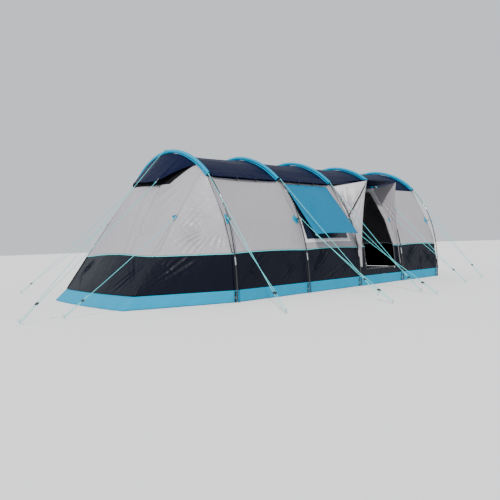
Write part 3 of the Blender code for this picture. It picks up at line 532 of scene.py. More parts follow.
FINISHES = {    # slot, kind, material, colour setting or plain colour, and its other values
    "grey": ("grey_cloth", fabric, "wall_cloth", "grey", dict(roughness=0.34, ior=1.45)),
    "navy": ("navy_cloth", fabric, "roof_cloth", "navy", dict(roughness=0.50, ior=1.15, vary=0.15)),
    "turquoise": ("turquoise_cloth", fabric, "sleeve_cloth", "turquoise", dict(roughness=0.46)),
    "charcoal": ("charcoal_cloth", fabric, "mud_wall_cloth", "charcoal",
                 dict(roughness=0.36, ior=1.22, vary=0.15)),
    "teal": ("teal_cloth", fabric, "awning_cloth", "teal", dict(roughness=0.38, ior=1.22)),
    "inner": ("inner_cloth", fabric, "inner_tent_cloth", "inner", dict(roughness=0.7, crumple=0.006)),
    "floor": ("groundsheet", fabric, "groundsheet_cloth", (0.03, 0.03, 0.04),
              dict(roughness=0.35, threads=120.0, weave=0.0005)),
    "mesh": ("charcoal_cloth", fabric, "vent_mesh", (0.006, 0.006, 0.008),
             dict(roughness=0.8, threads=200.0, weave=0.0006, crumple=0.0)),
    "tape": ("grey_cloth", fabric, "seam_tape", (0.30, 0.295, 0.315),
             dict(roughness=0.45, crumple=0.0, threads=500.0)),
    "pale_tape": ("grey_cloth", fabric, "window_tape", (0.62, 0.62, 0.64),
                  dict(roughness=0.6, crumple=0.0, threads=500.0)),
    "webbing": ("charcoal_cloth", fabric, "black_webbing", "black",
                dict(roughness=0.6, sheen=0.3, threads=450.0, weave=0.0006, crumple=0.0)),
    "mint_tape": ("mint_cord", fabric, "mint_piping", "mint",
                  dict(roughness=0.5, crumple=0.0, threads=500.0)),
    "cord": ("mint_cord", fabric, "guy_cord", "mint",
             dict(roughness=0.6, sheen=0.3, crumple=0.0012, scale=240.0)),
    "pole": ("black_pole", plain, "pole_fibreglass", "black", dict(roughness=0.34, coat=0.3)),
    "plastic": ("black_plastic", plain, "black_fitting", "black", dict(roughness=0.45, grain=0.0003)),
    "steel": ("steel", plain, "zinc_steel", "steel",
              dict(roughness=0.32, metallic=1.0, grain=0.0002, scale=120.0)),
    "film": ("window_film", plain, "window_film", (0.010, 0.014, 0.034),
             dict(roughness=0.10, coat=0.6, grain=0.004, scale=3.5)),
}


def finish_of(look):
    """The slot and the material of a named finish."""
    slot, kind, material, tint, values = FINISHES[look]
    if isinstance(tint, str):
        tint = getattr(bpy.context.scene.tent_colours, tint)
    return slot, kind(material, tint, **values)


# ---- Making pieces -------------------------------------------------------------------------------
def joined(meshes):
    """One mesh from several."""
    bm = bmesh.new()
    for mesh in meshes:
        bm.from_mesh(mesh)
        bpy.data.meshes.remove(mesh)
    made = bpy.data.meshes.new("joined")
    bm.to_mesh(made)
    bm.free()
    return made


def put(name, meshes, look, body="root", replaces=(), wall=None):
    """Piece from one mesh or several, riding on a body, in a finish."""
    mesh = joined(meshes) if isinstance(meshes, list) else meshes
    mesh.name = name
    mesh.materials.clear()
    slot, material = finish_of(look)
    mesh.materials.append(material)
    mesh.shade_smooth()
    mesh.set_sharp_from_angle(angle=SHARP_ANGLE)
    made = bpy.data.objects.new(name, mesh)
    bpy.context.scene.collection.objects.link(made)
    if wall:
        shell = made.modifiers.new("cloth", "SOLIDIFY")
        shell.thickness = wall
        shell.offset = 0.0
    if body:
        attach(made, body)
    if replaces:
        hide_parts(*replaces)
    return made


def join_points(mesh, distance, turn_out=False):
    """Join points closer than distance; turn_out makes every face look outwards."""
    bm = bmesh.new()
    bm.from_mesh(mesh)
    bmesh.ops.remove_doubles(bm, verts=bm.verts, dist=distance)
    if turn_out:
        bmesh.ops.recalc_face_normals(bm, faces=bm.faces)
    bm.to_mesh(mesh)
    bm.free()


def add_spline(curve, points, closed):
    spline = curve.splines.new("POLY")
    spline.use_cyclic_u = closed
    spline.points.add(len(points) - 1)
    for knot, point in zip(spline.points, points):
        knot.co = (*point, 1.0)


def mesh_of_curve(curve):
    """Mesh of a curve, which is then dropped."""
    guide = bpy.data.objects.new(curve.name, curve)
    mesh = bpy.data.meshes.new_from_object(guide)
    bpy.data.objects.remove(guide)
    bpy.data.curves.remove(curve)
    return mesh


def steps(stops, spacing):
    """Values from the first stop to the last, with every stop among them."""
    values = [stops[0]]
    for a, b in zip(stops, stops[1:]):
        count = max(1, round(abs(b - a) / spacing))
        values += [a + (b - a) * k / count for k in range(1, count + 1)]
    return np.array(values)


def between(a, b, count):
    return np.linspace(a, b, count + 1)


def spans(*parts):
    """Several runs of (start, end, count) in one, the first point of each later one left out."""
    return np.concatenate([between(*parts[0])] + [between(*part)[1:] for part in parts[1:]])


def path_length(points):
    return float(np.linalg.norm(np.diff(points, axis=0), axis=1).sum())


def grid_mesh(place, us, vs, gone=None, weld=False):
    """Grid of cloth whose point (u, v) is place(u, v), without the faces where gone(u, v) holds."""
    bm = bmesh.new()
    bm.loops.layers.uv.new("UVMap")
    bmesh.ops.create_grid(bm, x_segments=len(us) - 1, y_segments=len(vs) - 1, size=0.5,
                          calc_uvs=True)
    mesh = bpy.data.meshes.new("grid")
    if gone:
        cut = []
        for face in bm.faces:
            middle = face.calc_center_median()
            u = np.interp(middle.x + 0.5, np.linspace(0, 1, len(us)), us)
            v = np.interp(middle.y + 0.5, np.linspace(0, 1, len(vs)), vs)
            if gone(u, v):
                cut.append(face)
        bmesh.ops.delete(bm, geom=cut, context="FACES")
    bm.to_mesh(mesh)
    bm.free()
    co = np.zeros(len(mesh.vertices) * 3, np.float32)
    mesh.vertices.foreach_get("co", co)
    co = co.reshape(-1, 3)
    i = np.rint((co[:, 0] + 0.5) * (len(us) - 1)).astype(int)
    j = np.rint((co[:, 1] + 0.5) * (len(vs) - 1)).astype(int)
    u, v = us[i], vs[j]
    points = place(u, v)
    mesh.vertices.foreach_set("co", (points + ORIGIN).astype(np.float32).ravel())
    row = place(us, np.full(len(us), vs[len(vs) // 2]))
    column = place(np.full(len(vs), us[len(us) // 2]), vs)
    run_u = np.concatenate([[0], np.cumsum(np.linalg.norm(np.diff(row, axis=0), axis=1))])
    run_v = np.concatenate([[0], np.cumsum(np.linalg.norm(np.diff(column, axis=0), axis=1))])
    corner = np.zeros(len(mesh.loops), np.int32)
    mesh.loops.foreach_get("vertex_index", corner)
    uv = np.stack([run_u[i][corner], run_v[j][corner]], axis=1).astype(np.float32)
    mesh.uv_layers[0].data.foreach_set("uv", uv.ravel())
    mesh.update()
    if weld:
        join_points(mesh, CLOTH_WELD)
    return mesh


def flat_size(place, us, vs):
    """The largest row and column lengths of a grid, which is the size of its cut."""
    rows = [path_length(place(us, np.full(len(us), v))) for v in between(vs[0], vs[-1], 8)]
    columns = [path_length(place(np.full(len(vs), u), vs)) for u in between(us[0], us[-1], 8)]
    return max(rows), max(columns)


def cloth(name, place, us, vs, look, body="root", replaces=(), gone=None, weld=False,
          held="stretched", rests_on=("pole_hoop_1",), flat=None):
    """Sheet of cloth on a grid, given the cloth's thickness; the flat size of its cut is worked out but not
    kept.
    """
    mesh = grid_mesh(place, us, vs, gone, weld)
    made = put(name, mesh, look, body, replaces, wall=sizes().cloth)
    tuple(flat or flat_size(place, us, vs))
    list(rests_on)
    return made


def tube_mesh(points, radius, closed=False, sides=8):
    """Round tube along points given in tent coordinates."""
    curve = bpy.data.curves.new("line", "CURVE")
    curve.dimensions = "3D"
    curve.bevel_depth = radius
    curve.bevel_resolution = sides // 4
    curve.use_fill_caps = not closed
    add_spline(curve, np.asarray(points) + ORIGIN, closed)
    mesh = mesh_of_curve(curve)
    join_points(mesh, SOLID_WELD, turn_out=True)
    return mesh


def ribbon_mesh(line, facing, width, stand_off=0.0):
    """Flat strap along a line, its face turned to facing."""
    line = np.asarray(line, float)
    facing = unit(np.broadcast_to(np.asarray(facing, float), line.shape))
    side = unit(np.cross(np.gradient(line, axis=0), facing))
    line = line + facing * stand_off
    index = np.arange(len(line))

    def place(u, v):
        middle = np.stack([np.interp(u, index, line[:, k]) for k in range(3)], axis=-1)
        across = np.stack([np.interp(u, index, side[:, k]) for k in range(3)], axis=-1)
        return middle + across * (v * width)[..., None]

    return grid_mesh(place, index.astype(float), between(-0.5, 0.5, 2))


def box_mesh(size, centre, bevel):
    """Box with rounded edges."""
    bm = bmesh.new()
    bmesh.ops.create_cube(bm, size=1.0)
    bmesh.ops.scale(bm, verts=bm.verts, vec=size)
    bmesh.ops.bevel(bm, geom=bm.edges[:], offset=bevel, segments=2, profile=0.5, affect="EDGES",
                    material=-1)
    bmesh.ops.translate(bm, verts=bm.verts, vec=Vector(np.asarray(centre) + ORIGIN))
    mesh = bpy.data.meshes.new("box")
    bm.to_mesh(mesh)
    bm.free()
    return mesh


def ring_mesh(centre, across, up, radius, wire, stretch=1.0, count=20):
    """Wire ring, or a rounded loop where stretch lengthens it along up."""
    turn = np.linspace(0, math.tau, count, endpoint=False)[:, None]
    points = np.asarray(centre) + np.cos(turn) * unit(across) * radius
    return tube_mesh(points + np.sin(turn) * unit(up) * radius * stretch, wire, closed=True)


# ---- Relief of hung cloth -------------------------------------------------------------------------
def wander(points, scale, seed):
    """Slow unevenness, about -1 to 1: plane waves in a few seeded directions."""
    random = np.random.default_rng(seed)
    total = np.zeros(len(points))
    for _ in range(9):
        direction = unit(random.normal(size=3))
        wave = scale * random.uniform(0.6, 1.8)
        total += np.sin(points @ direction * (math.tau / wave) + random.uniform(0, math.tau))
    return total / 4.5


def smooth(x):
    x = np.clip(x, 0, 1)
    return x * x * (3 - 2 * x)


def crest(x):
    """A sharp ridge every full turn, with a broad valley between."""
    return 2.2 * (1 - np.abs(np.sin(x / 2))) ** 1.6 - 0.75


def pull(points, facing, start, end, widths, folds, slope, seed=0):
    """Tension folds from start towards end, in a band that opens from one width to the other."""
    a, b = np.asarray(start, float), np.asarray(end, float)
    length = np.linalg.norm(b - a)
    run = (b - a) / length
    side = unit(np.cross(run, facing))
    away = points - a
    t = away @ run / length
    width = widths[0] + (widths[1] - widths[0]) * np.clip(t, 0, 1)
    u = away @ side / width + 0.09 * wander(points, length * 0.8, seed + 50)
    patchy = np.clip(0.8 + 0.8 * wander(points, length * 0.6, seed + 51), 0, 1.4)
    window = smooth(t / 0.10) * smooth((1 - t) / 0.45)
    random = np.random.default_rng(seed)
    shape = crest(u * folds * math.pi + random.uniform(0, math.tau))
    height = slope * sizes().creases * width / folds
    return height * patchy * np.exp(-2.2 * u * u) * window * shape


# ---- Cloth surfaces with their creases -----------------------------------------------------------
DIRECTIONS = (-1, 1)


def outward(points):
    """Horizontal direction away from the tent's middle line."""
    x = points[..., 0] - np.clip(points[..., 0], HOOP_X[0], HOOP_X[-1])
    return unit(xyz(x, points[..., 1], 0.0))


def half_bays():
    """Every hoop with each direction, -1 or 1, in which a bay leaves it."""
    return [(hoop, way) for hoop in range(LAST + 1) for way in DIRECTIONS
            if 0 <= hoop + way * 0.5 <= LAST]


def side_pulls(side):
    """Tension folds of a side wall, from its tabs, sleeve ends and feet into the bays."""
    found = []
    for hoop, way in half_bays():
        tab = wall_point(hoop, TAB_HEIGHT, side)
        eave = wall_point(hoop, WALL_TOP, side)
        foot = wall_point(hoop, LOWEST - 0.05, side)
        found += [
            (tab, wall_point(hoop + way * 0.42, 1.30, side), (0.02, 0.20), 5, 0.06),
            (tab, wall_point(hoop + way * 0.46, 0.78, side), (0.02, 0.22), 6, 0.08),
            (eave, wall_point(hoop + way * 0.30, 1.20, side), (0.02, 0.20), 5, 0.05),
            (foot, wall_point(hoop + way * 0.34, 1.00, side), (0.02, 0.20), 5, 0.07),
        ]
    return found


def band_pulls(side):
    """Diagonal folds of the mud wall, up from each foot and down from each tab's seam."""
    found = []
    for hoop, way in half_bays():
        foot = wall_point(hoop, SKIRT_HEIGHT, side)
        top = wall_point(hoop, BAND_HEIGHT, side)
        found += [
            (foot, wall_point(hoop + way * 0.48, BAND_HEIGHT + 0.06, side), (0.02, 0.15), 3, 0.20),
            (top, wall_point(hoop + way * 0.40, SKIRT_HEIGHT, side), (0.02, 0.12), 3, 0.16),
        ]
    return found


def end_pulls(name):
    """Folds of an end wall, from its corner seams' tabs, feet and tops."""
    end = ENDS[name]
    found = []
    for side in DIRECTIONS:
        tab = end_wall_point(end, 0.43, side)
        foot = end_wall_point(end, 0.0, side)
        top = end_wall_point(end, 1.0, side)
        knee = end_cloth_point(end, np.array(side * 2.0), 0.40)
        found += [
            (tab, end_wall_point(end, 0.62, side * 0.2), (0.03, 0.34), 5, 0.11),
            (tab, end_wall_point(end, 0.10, side * 0.3), (0.03, 0.30), 4, 0.11),
            (foot, end_wall_point(end, 0.55, side * 0.1), (0.03, 0.34), 5, 0.09),
            (top, end_wall_point(end, 0.35, side * 0.25), (0.03, 0.34), 5, 0.08),
            (foot, end_cloth_point(end, np.array(side * 1.8), 0.60), (0.03, 0.26), 5, 0.07),
            (knee, end_cloth_point(end, np.array(side * 1.2), 0.0), (0.02, 0.44), 11, 0.22),
            (knee, end_cloth_point(end, np.array(side * 1.75), 0.0), (0.02, 0.34), 9, 0.20),
            (knee, end_cloth_point(end, np.array(side * 1.15), 0.40), (0.02, 0.30), 7, 0.14),
        ]
    return found


def end_band_pulls(name):
    end = ENDS[name]
    found = []
    for side in DIRECTIONS:
        corner = end_level_point(end, np.array(side * 1.0), SKIRT_HEIGHT)
        high = end_level_point(end, np.array(side * 1.0), BAND_HEIGHT)
        for q in (0.45, 1.55):
            found += [
                (corner, end_level_point(end, np.array(side * q), BAND_HEIGHT), (0.02, 0.16), 3, 0.18),
                (high, end_level_point(end, np.array(side * q), SKIRT_HEIGHT), (0.02, 0.13), 3, 0.14),
            ]
    return found


def relief_of(points, found, seed, slack):
    """Height of the cloth's relief: its tension folds and a slow slackness."""
    total = slack * wander(points, 0.55, seed) + slack * 0.35 * wander(points, 0.17, seed + 1)
    for index, one in enumerate(found):
        facing = outward(np.asarray(one[0])[None, :])[0] + np.array([0, 0, 0.2])
        total += pull(points, facing, *one, seed=seed + 11 * index)
    return total


def seam_hold(up, least, high, low):
    """How free the cloth is: least at its upper and lower seams, and 1 away from them."""
    return least + (1 - least) * smooth((1 - up) / high) * smooth(up / low)


def add_pulls(relief, points, facing, folds, seed):
    for index, one in enumerate(folds):
        relief = relief + pull(points, facing, *one, seed=seed + index)
    return relief


def border_rise(points):
    """How far the seam over the mud wall rides up between the poles and dips at them."""
    along = np.interp(points[..., 0], HOOP_X, range(LAST + 1))
    inside = (points[..., 0] > HOOP_X[0]) & (points[..., 0] < HOOP_X[-1])
    across = np.clip(1 - np.abs(points[..., 1]) / ENDS["rear"]["corner"][1][1], 0, 1)
    return np.where(inside, 0.016 * mid_bay(along) - 0.008, 0.030 * smooth(across / 0.9) - 0.010)


def wall_cloth(along, height, side=-1, stand_off=0.0):
    """Side wall with its creases, from the mud wall's seam to the roof."""
    points = wall_point(along, height, side)
    up = np.clip((np.asarray(height) - LOWEST) / (WALL_TOP - LOWEST), 0, 1)
    points[..., 2] += border_rise(points) * (1 - up)
    relief = relief_of(points, side_pulls(side), 100 + side, 0.0030) * seam_hold(up, 0.25, 0.08, 0.06)
    points[..., 1] += side * (relief + stand_off)
    return points


def band_cloth(place, height, stand_off=0.0):
    """Mud wall with its creases."""
    points = ring_point(place, height)
    up = np.clip((np.asarray(height) - SKIRT_HEIGHT) / (BAND_HEIGHT - SKIRT_HEIGHT), 0, 1)
    points[..., 2] += border_rise(points) * up
    found = band_pulls(-1) + band_pulls(1) + end_band_pulls("rear") + end_band_pulls("front")
    relief = relief_of(points, found, 300, 0.0032) * seam_hold(up, 0.25, 0.10, 0.10)
    return points + outward(points) * (relief + stand_off)[..., None]


def skirt_cloth(place, height, stand_off=0.0):
    points = ring_point(place, height)
    down = 1 - np.asarray(height) / SKIRT_HEIGHT
    ripple = 0.006 * wander(points, 0.16, 7) + 0.008 * wander(points, 0.5, 8)
    return points + outward(points) * (ripple * down + stand_off)[..., None]


def end_cloth(name, q, up, stand_off=0.0):
    """End wall with its creases; up is the share from the mud wall to the hoop."""
    points = end_cloth_point(ENDS[name], q, up)
    points[..., 2] += border_rise(points) * (1 - up)
    relief = relief_of(points, end_pulls(name), 500 + len(name), 0.0045)
    relief = relief * seam_hold(up, 0.2, 0.08, 0.06)
    direction = unit(outward(points) + np.array([0, 0, 0.5]))
    return points + direction * (relief + stand_off)[..., None]


def roof_cloth(along, angle, stand_off=0.0):
    """Roof with the lengthwise folds that run from hoop to hoop."""
    points = roof_point(along, angle, ROOF_INSET - stand_off)
    wave = crest(angle * 23 + 1.6 * wander(points, 0.9, 21)) * mid_bay(along) ** 0.7
    slack = wander(points, 0.5, 22) * 0.004
    edge = smooth((angle - SLEEVE_END) / 0.12) * smooth((math.pi - SLEEVE_END - angle) / 0.12)
    points[..., 2] += (0.0035 * wave + slack) * edge * (0.3 + 0.7 * mid_bay(along))
    return points


def line(surface, *args, **words):
    """Points along a surface, for arguments that are numbers or arrays."""
    count = max(np.size(a) for a in args)
    full = [np.broadcast_to(np.asarray(a, float), (count,)) for a in args]
    return surface(*full, **words)


def spot(surface, *args, **words):
    """One point of a surface."""
    return line(surface, *args, **words)[0]


# ---- Stage ---------------------------------------------------------------------------------------
CAMERA_PLACE = (-4.1452, -6.4513, 0.7575)
CAMERA_YAW = 0.7239
CAMERA_PITCH = -0.0164
CAMERA_ROLL = -0.0320
CAMERA_LENS = 37.33


class TENT_OT_stage(bpy.types.Operator):
    """Make the floor, the soft lights and the camera"""

    bl_idname = "tent.stage"
    bl_label = "Stage"

    def execute(self, context):
        scene = context.scene
        ahead = np.array([math.sin(CAMERA_YAW) * math.cos(CAMERA_PITCH),
                          math.cos(CAMERA_YAW) * math.cos(CAMERA_PITCH), math.sin(CAMERA_PITCH)])
        level = np.array([math.cos(CAMERA_YAW), -math.sin(CAMERA_YAW), 0.0])
        upright = np.cross(level, ahead)
        c, s = math.cos(CAMERA_ROLL), math.sin(CAMERA_ROLL)
        axes = Matrix((c * level + s * upright, c * upright - s * level, -ahead)).transposed()
        camera = bpy.data.objects.new("camera", bpy.data.cameras.new("camera"))
        camera.data.lens = CAMERA_LENS
        camera.data.clip_end = 200.0
        camera.matrix_world = Matrix.Translation(np.array(CAMERA_PLACE) + ORIGIN) @ axes.to_4x4()
        scene.collection.objects.link(camera)
        scene.camera = camera

        for name, aim, strength, angle, tint in (
                ("key", (0.80, 0.50, -0.72), 4.6, 4, (1.0, 0.96, 0.92)),
                ("fill", (-0.6, 0.9, -0.5), 0.15, 60, (0.85, 0.92, 1.0)),
                ("back", (-0.3, -1.0, -1.2), 0.25, 60, (0.9, 0.95, 1.0))):
            light = bpy.data.lights.new(name, "SUN")
            light.energy = strength
            light.angle = math.radians(angle)
            light.color = tint
            lamp = bpy.data.objects.new(name, light)
            lamp.rotation_euler = Vector(aim).to_track_quat("-Z", "Y").to_euler()
            scene.collection.objects.link(lamp)
        world = bpy.data.worlds.new("studio")
        world.use_nodes = True
        sky = world.node_tree.nodes["Background"]
        sky.inputs["Color"].default_value = (0.90, 0.95, 1.0, 1.0)
        sky.inputs["Strength"].default_value = 0.85
        scene.world = world

        bm = bmesh.new()
        bmesh.ops.create_circle(bm, cap_ends=True, segments=96, radius=60.0)
        bmesh.ops.translate(bm, verts=bm.verts, vec=(0, 0, -0.0015))
        mesh = bpy.data.meshes.new("floor")
        bm.to_mesh(mesh)
        bm.free()
        pale = bpy.data.materials.new("pale_floor")
        pale.use_nodes = True
        shader = pale.node_tree.nodes["Principled BSDF"]
        shader.inputs["Base Color"].default_value = (0.82, 0.82, 0.82, 1.0)
        shader.inputs["Roughness"].default_value = 0.9
        mesh.materials.append(pale)
        floor = bpy.data.objects.new("floor", mesh)
        scene.collection.objects.link(floor)
        return {"FINISHED"}


# ---- Guy lines -----------------------------------------------------------------------------------
def leg_tab(hoop, height, side=-1, along=0.0):
    point = hoop_point(hoop, hoop_angle(height), -TAB_STAND_OFF)
    return np.array([point[0] + along, side * abs(point[1]), point[2]])


def seam_tab(side):
    """Where a line is tied on the rear wall's corner seam."""
    ups = between(0, 1, 12)
    rows = end_wall_point(ENDS["rear"], ups, np.full(13, float(side)))
    return rows[np.argmin(np.abs(rows[:, 2] - SEAM_TAB_HEIGHT))] + np.array([-0.016, side * 0.010, 0])


def hanging(length, degrees):
    drop = math.radians(degrees)
    return np.array([0, -math.sin(drop), -math.cos(drop)]) * length


def awning_hinge():
    start = WINDOW_BAY + AWNING_MARGIN / BAYS[WINDOW_BAY]
    end = WINDOW_BAY + 1 - AWNING_MARGIN / BAYS[WINDOW_BAY]
    ends = wall_point(np.array([start, end]), AWNING_TOP, stand_off=AWNING_STAND_OFF)
    ends[:, 1] = ends[:, 1].min()
    return ends


def awning_corners():
    return awning_hinge() + hanging(AWNING_LENGTH, AWNING_ANGLE)


def hood_point(across, up, lift):
    point = end_wall_point(ENDS["rear"], up, across)
    point[..., 0] -= HOOD_CLEARANCE + HOOD_LIFT * lift
    return point


def line_ties():
    """The tie points of every guy line: two for a forked line, one for a plain one."""
    high = SLEEVE_END_HEIGHT - 0.015
    ties = {}
    for i, x in enumerate(HOOP_X):
        name = f"front_{i + 1}"
        beside = math.copysign(TAB_SIDE, PEGS[name][0] - x)
        ties[name] = [leg_tab(i, height, along=beside) for height in (high, TAB_HEIGHT)]
    ties["rear_far"] = [leg_tab(0, high, side=1, along=-TAB_SIDE), seam_tab(1)]
    crown = np.array([hoop_x(0, CROWN_HEIGHT) - 0.030, 0, CROWN_HEIGHT + SLEEVE_RADIUS + 0.006])
    peak = hood_point(np.array(HOOD_PEAK[0]), np.array(HOOD_PEAK[1]), 1.0)
    ties["crown"] = [crown, peak + np.array([-0.016, -0.008, -0.008])]
    ties["rear_near"] = [seam_tab(-1)]
    for name, corner in zip(("awning_rear", "awning_front"), awning_corners()):
        ties[name] = [corner + unit(np.array([*PEGS[name], PEG_GRIP]) - corner) * 0.014]
    return ties


def line_axes(name, ties):
    """A line's peg point, its direction up from the peg, and the direction between its strands."""
    peg = np.array([*PEGS[name], PEG_GRIP])
    up = unit(np.mean(ties, axis=0) - peg)
    across = unit(np.cross(up, (0, 0, 1)))
    if len(ties) == 2 and across @ (ties[0] - ties[1]) < 0:
        across = -across
    return peg, up, across


def strand(tie, mouth):
    """From a tie down to the runner's mouth, with a little sag."""
    count = round(np.linalg.norm(mouth - tie) / 0.012)
    share = np.linspace(0, 0.98, count)
    points = tie + (mouth - tie) * share[:, None]
    points[:, 2] -= CORD_SAG * 4 * share * (1 - share)
    return [*points, mouth]


def line_route(ties, peg, up, across):
    """Centre line of a guy line: down one strand, round the peg, and up the other."""
    runner = peg + up * RUNNER_DISTANCE
    past = up * (RUNNER_LENGTH / 2 + 0.012)
    grip = (CORD_RADIUS + PEG_RADIUS + PEG_CLEARANCE) / math.hypot(up[0], up[1])
    turn = peg + up * (STRAND_OFFSET - grip)
    beside = across * STRAND_OFFSET
    route = strand(ties[0], runner + beside + past) + [runner + beside - past]
    for angle in between(0, math.pi, 12):
        route.append(turn + beside * math.cos(angle) - up * STRAND_OFFSET * math.sin(angle))
    route.append(runner - beside - past)
    if len(ties) == 2:
        route += strand(ties[1], runner - beside + past)[::-1]
    else:
        route += [runner - beside + past, runner - beside + past + up * TAIL_LENGTH]
    return np.array(route)


def hitch_mesh(tie, towards):
    """Knot that ties a line to its tab: three turns round the cord below a small loop."""
    down = unit(towards - tie)
    side = unit(np.cross(down, (0.3, 0.2, 1.0)))
    third = np.cross(down, side)
    turn = np.linspace(0, 3 * math.tau, 40)[:, None]
    coil = tie + down * (0.008 + 0.006 * turn / math.tau)
    coil = coil + (side * np.cos(turn) + third * np.sin(turn)) * 0.0052
    loop = ring_mesh(tie + down * 0.001, down, side, 0.009, CORD_RADIUS * 0.9, count=14)
    return joined([tube_mesh(coil, CORD_RADIUS * 0.9, sides=4), loop])


def runner_mesh(centre, up, across):
    """Flat slider with a bore for each strand."""
    curve = bpy.data.curves.new("runner", "CURVE")
    curve.dimensions = "2D"
    curve.fill_mode = "BOTH"
    curve.bevel_depth = 0.0012
    curve.bevel_resolution = 1
    curve.offset = -curve.bevel_depth
    curve.extrude = RUNNER_LENGTH / 2 - curve.bevel_depth
    end = RUNNER_HALF_WIDTH - RUNNER_HALF_THICKNESS
    outline = []
    for side in (1, -1):
        for angle in between(-math.pi / 2, math.pi / 2, 8) + (0 if side > 0 else math.pi):
            outline.append((side * end + RUNNER_HALF_THICKNESS * math.cos(angle),
                            RUNNER_HALF_THICKNESS * math.sin(angle)))
    bore = CORD_RADIUS + BORE_CLEARANCE
    holes = [[(side * STRAND_OFFSET + bore * math.cos(a), bore * math.sin(a))
              for a in np.linspace(0, math.tau, 16, endpoint=False)] for side in (1, -1)]
    for points in [outline] + holes:
        add_spline(curve, [(x, y, 0.0) for x, y in points], closed=True)
    mesh = mesh_of_curve(curve)
    turn = Matrix((across, np.cross(up, across), up)).transposed().to_4x4()
    mesh.transform(Matrix.Translation(centre + ORIGIN) @ turn)
    join_points(mesh, SOLID_WELD, turn_out=True)
    return mesh


def peg_mesh(foot, out):
    """The part of a bent wire peg that stands above the ground."""
    corners = np.array([(0, 0), (0, 0.034), (0.006, 0.046), (0.014, 0.048), (0.024, 0.042), (0.027, 0.028)])
    run = np.linspace(0, len(corners) - 1, 40)
    rounded = np.stack([np.interp(run, range(len(corners)), corners[:, k]) for k in range(2)], axis=1)
    for _ in range(12):
        rounded[1:-1] = (rounded[:-2] + 2 * rounded[1:-1] + rounded[2:]) / 4
    base = np.array([foot[0], foot[1], 0.0])
    return tube_mesh([base + out * a + np.array([0, 0, z]) for a, z in rounded], PEG_RADIUS)


class TENT_OT_guy_lines(bpy.types.Operator):
    """Make the guy lines with their knots, runners and pegs"""

    bl_idname = "tent.guy_lines"
    bl_label = "Guy lines"

    def execute(self, context):
        for name, ties in line_ties().items():
            peg, up, across = line_axes(name, ties)
            route = line_route(ties, peg, up, across)
            swings = name.startswith("awning")
            cord = put(f"cord_{name}", tube_mesh(route, CORD_RADIUS), "cord",
                       body=None if swings else "root", replaces=[f"guy_line_{name}"])
            knots_made = [hitch_mesh(tie, peg) for tie in ties]
            if len(ties) == 1:
                knots_made.append(hitch_mesh(route[-1] - up * 0.02, route[-1]))
            knot_bodies = ["awning" if swings else "root"] * len(ties) + ["root"]
            for index, (mesh, body) in enumerate(zip(knots_made, knot_bodies)):
                put(f"knot_{name}_{index + 1}", mesh, "cord", body=body)
            if swings:
                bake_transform(cord)
            runner = put(f"runner_{name}", runner_mesh(peg + up * RUNNER_DISTANCE, up, across),
                         "plastic", body=f"runner_{name}", replaces=[f"guy_runner_{name}"])
            out = unit(np.array([-up[0], -up[1], 0.0]))
            stake = put(f"peg_{name}", peg_mesh(PEGS[name], out), "steel",
                        replaces=[f"guy_peg_{name}"])
            path_length(route)
        return {"FINISHED"}


# ---- Poles and feet ------------------------------------------------------------------------------
class TENT_OT_poles(bpy.types.Operator):
    """Make the five bent poles, their ferrules, and the pin, ring and strap at each foot"""

    bl_idname = "tent.poles"
    bl_label = "Poles"

    def execute(self, context):
        half = sizes().ferrule / 2
        foot = float(hoop_angle(0.012))
        for hoop in range(LAST + 1):
            number = hoop + 1
            angles = foot + (math.pi - 2 * foot) * between(0, 1, 96)
            put(f"pole_{number}", tube_mesh(hoop_point(hoop, angles), POLE_RADIUS, sides=12),
                "pole", replaces=[f"pole_hoop_{number}"])
            ferrules, pins, straps = [], [], []
            for middle in (0.52, 1.32):
                low, high = hoop_angle(middle - half), hoop_angle(middle + half)
                for angles in (between(low, high, 5), math.pi - between(low, high, 5)):
                    if middle < 1 or hoop in (0, LAST):
                        ferrules.append(tube_mesh(hoop_point(hoop, angles), POLE_RADIUS + 0.0016, sides=12))
            for side in DIRECTIONS:
                ground = np.array([HOOP_X[hoop], side * HALF_WIDTH, 0.0])
                pins.append(tube_mesh([ground + (0, 0, 0.004), ground + (0, 0, 0.05)], 0.0035))
                pins.append(ring_mesh(ground + (0, 0, 0.0045), (1, 0, 0), (0, 1, 0), 0.019, 0.0028))
                place = hoop if side < 0 else 12 - hoop
                inner = spot(skirt_cloth, place, 0.03, stand_off=0.003)
                rows = [ground + (0, -side * 0.018, 0.008), inner + (0, 0, -0.02), inner]
                for height in (0.06, 0.10, 0.14):
                    rows.append(spot(skirt_cloth, place, height, stand_off=0.004))
                straps.append(ribbon_mesh(rows, (0, side, 0.4), sizes().webbing))
                buckle = np.array(rows[3])
                pins.append(ring_mesh(buckle + (0, side * 0.003, 0), (1, 0, 0), (0, 0, 1), 0.016, 0.002,
                                      stretch=0.6))
            put(f"ferrules_{number}", ferrules, "steel")
            put(f"foot_pins_{number}", pins, "steel")
            put(f"foot_straps_{number}", straps, "webbing", wall=0.0018)
        return {"FINISHED"}


# ---- Sleeves and roof ----------------------------------------------------------------------------
def sleeve_point(hoop, angle, turn, swell=0.0):
    """Point of a sleeve, round its pole: turn 0 and 1 are underneath, on the roof."""
    centre = hoop_point(hoop, angle)
    out = unit(hoop_point(hoop, angle, -0.01) - hoop_point(hoop, angle))
    beside = np.array([1.0, 0.0, 0.0])
    phase = math.tau * turn
    flat = SLEEVE_RADIUS * (1 - 0.10 * np.abs(np.sin(phase)))
    pucker = 0.0011 * wander(centre * 1.0, 0.07, 40 + hoop) + 0.0009 * wander(centre, 0.2, 60 + hoop)
    radius = flat - 0.0012 + pucker + swell
    return (centre - out * (radius * np.cos(phase))[..., None]
            + beside * (radius * np.sin(phase))[..., None])


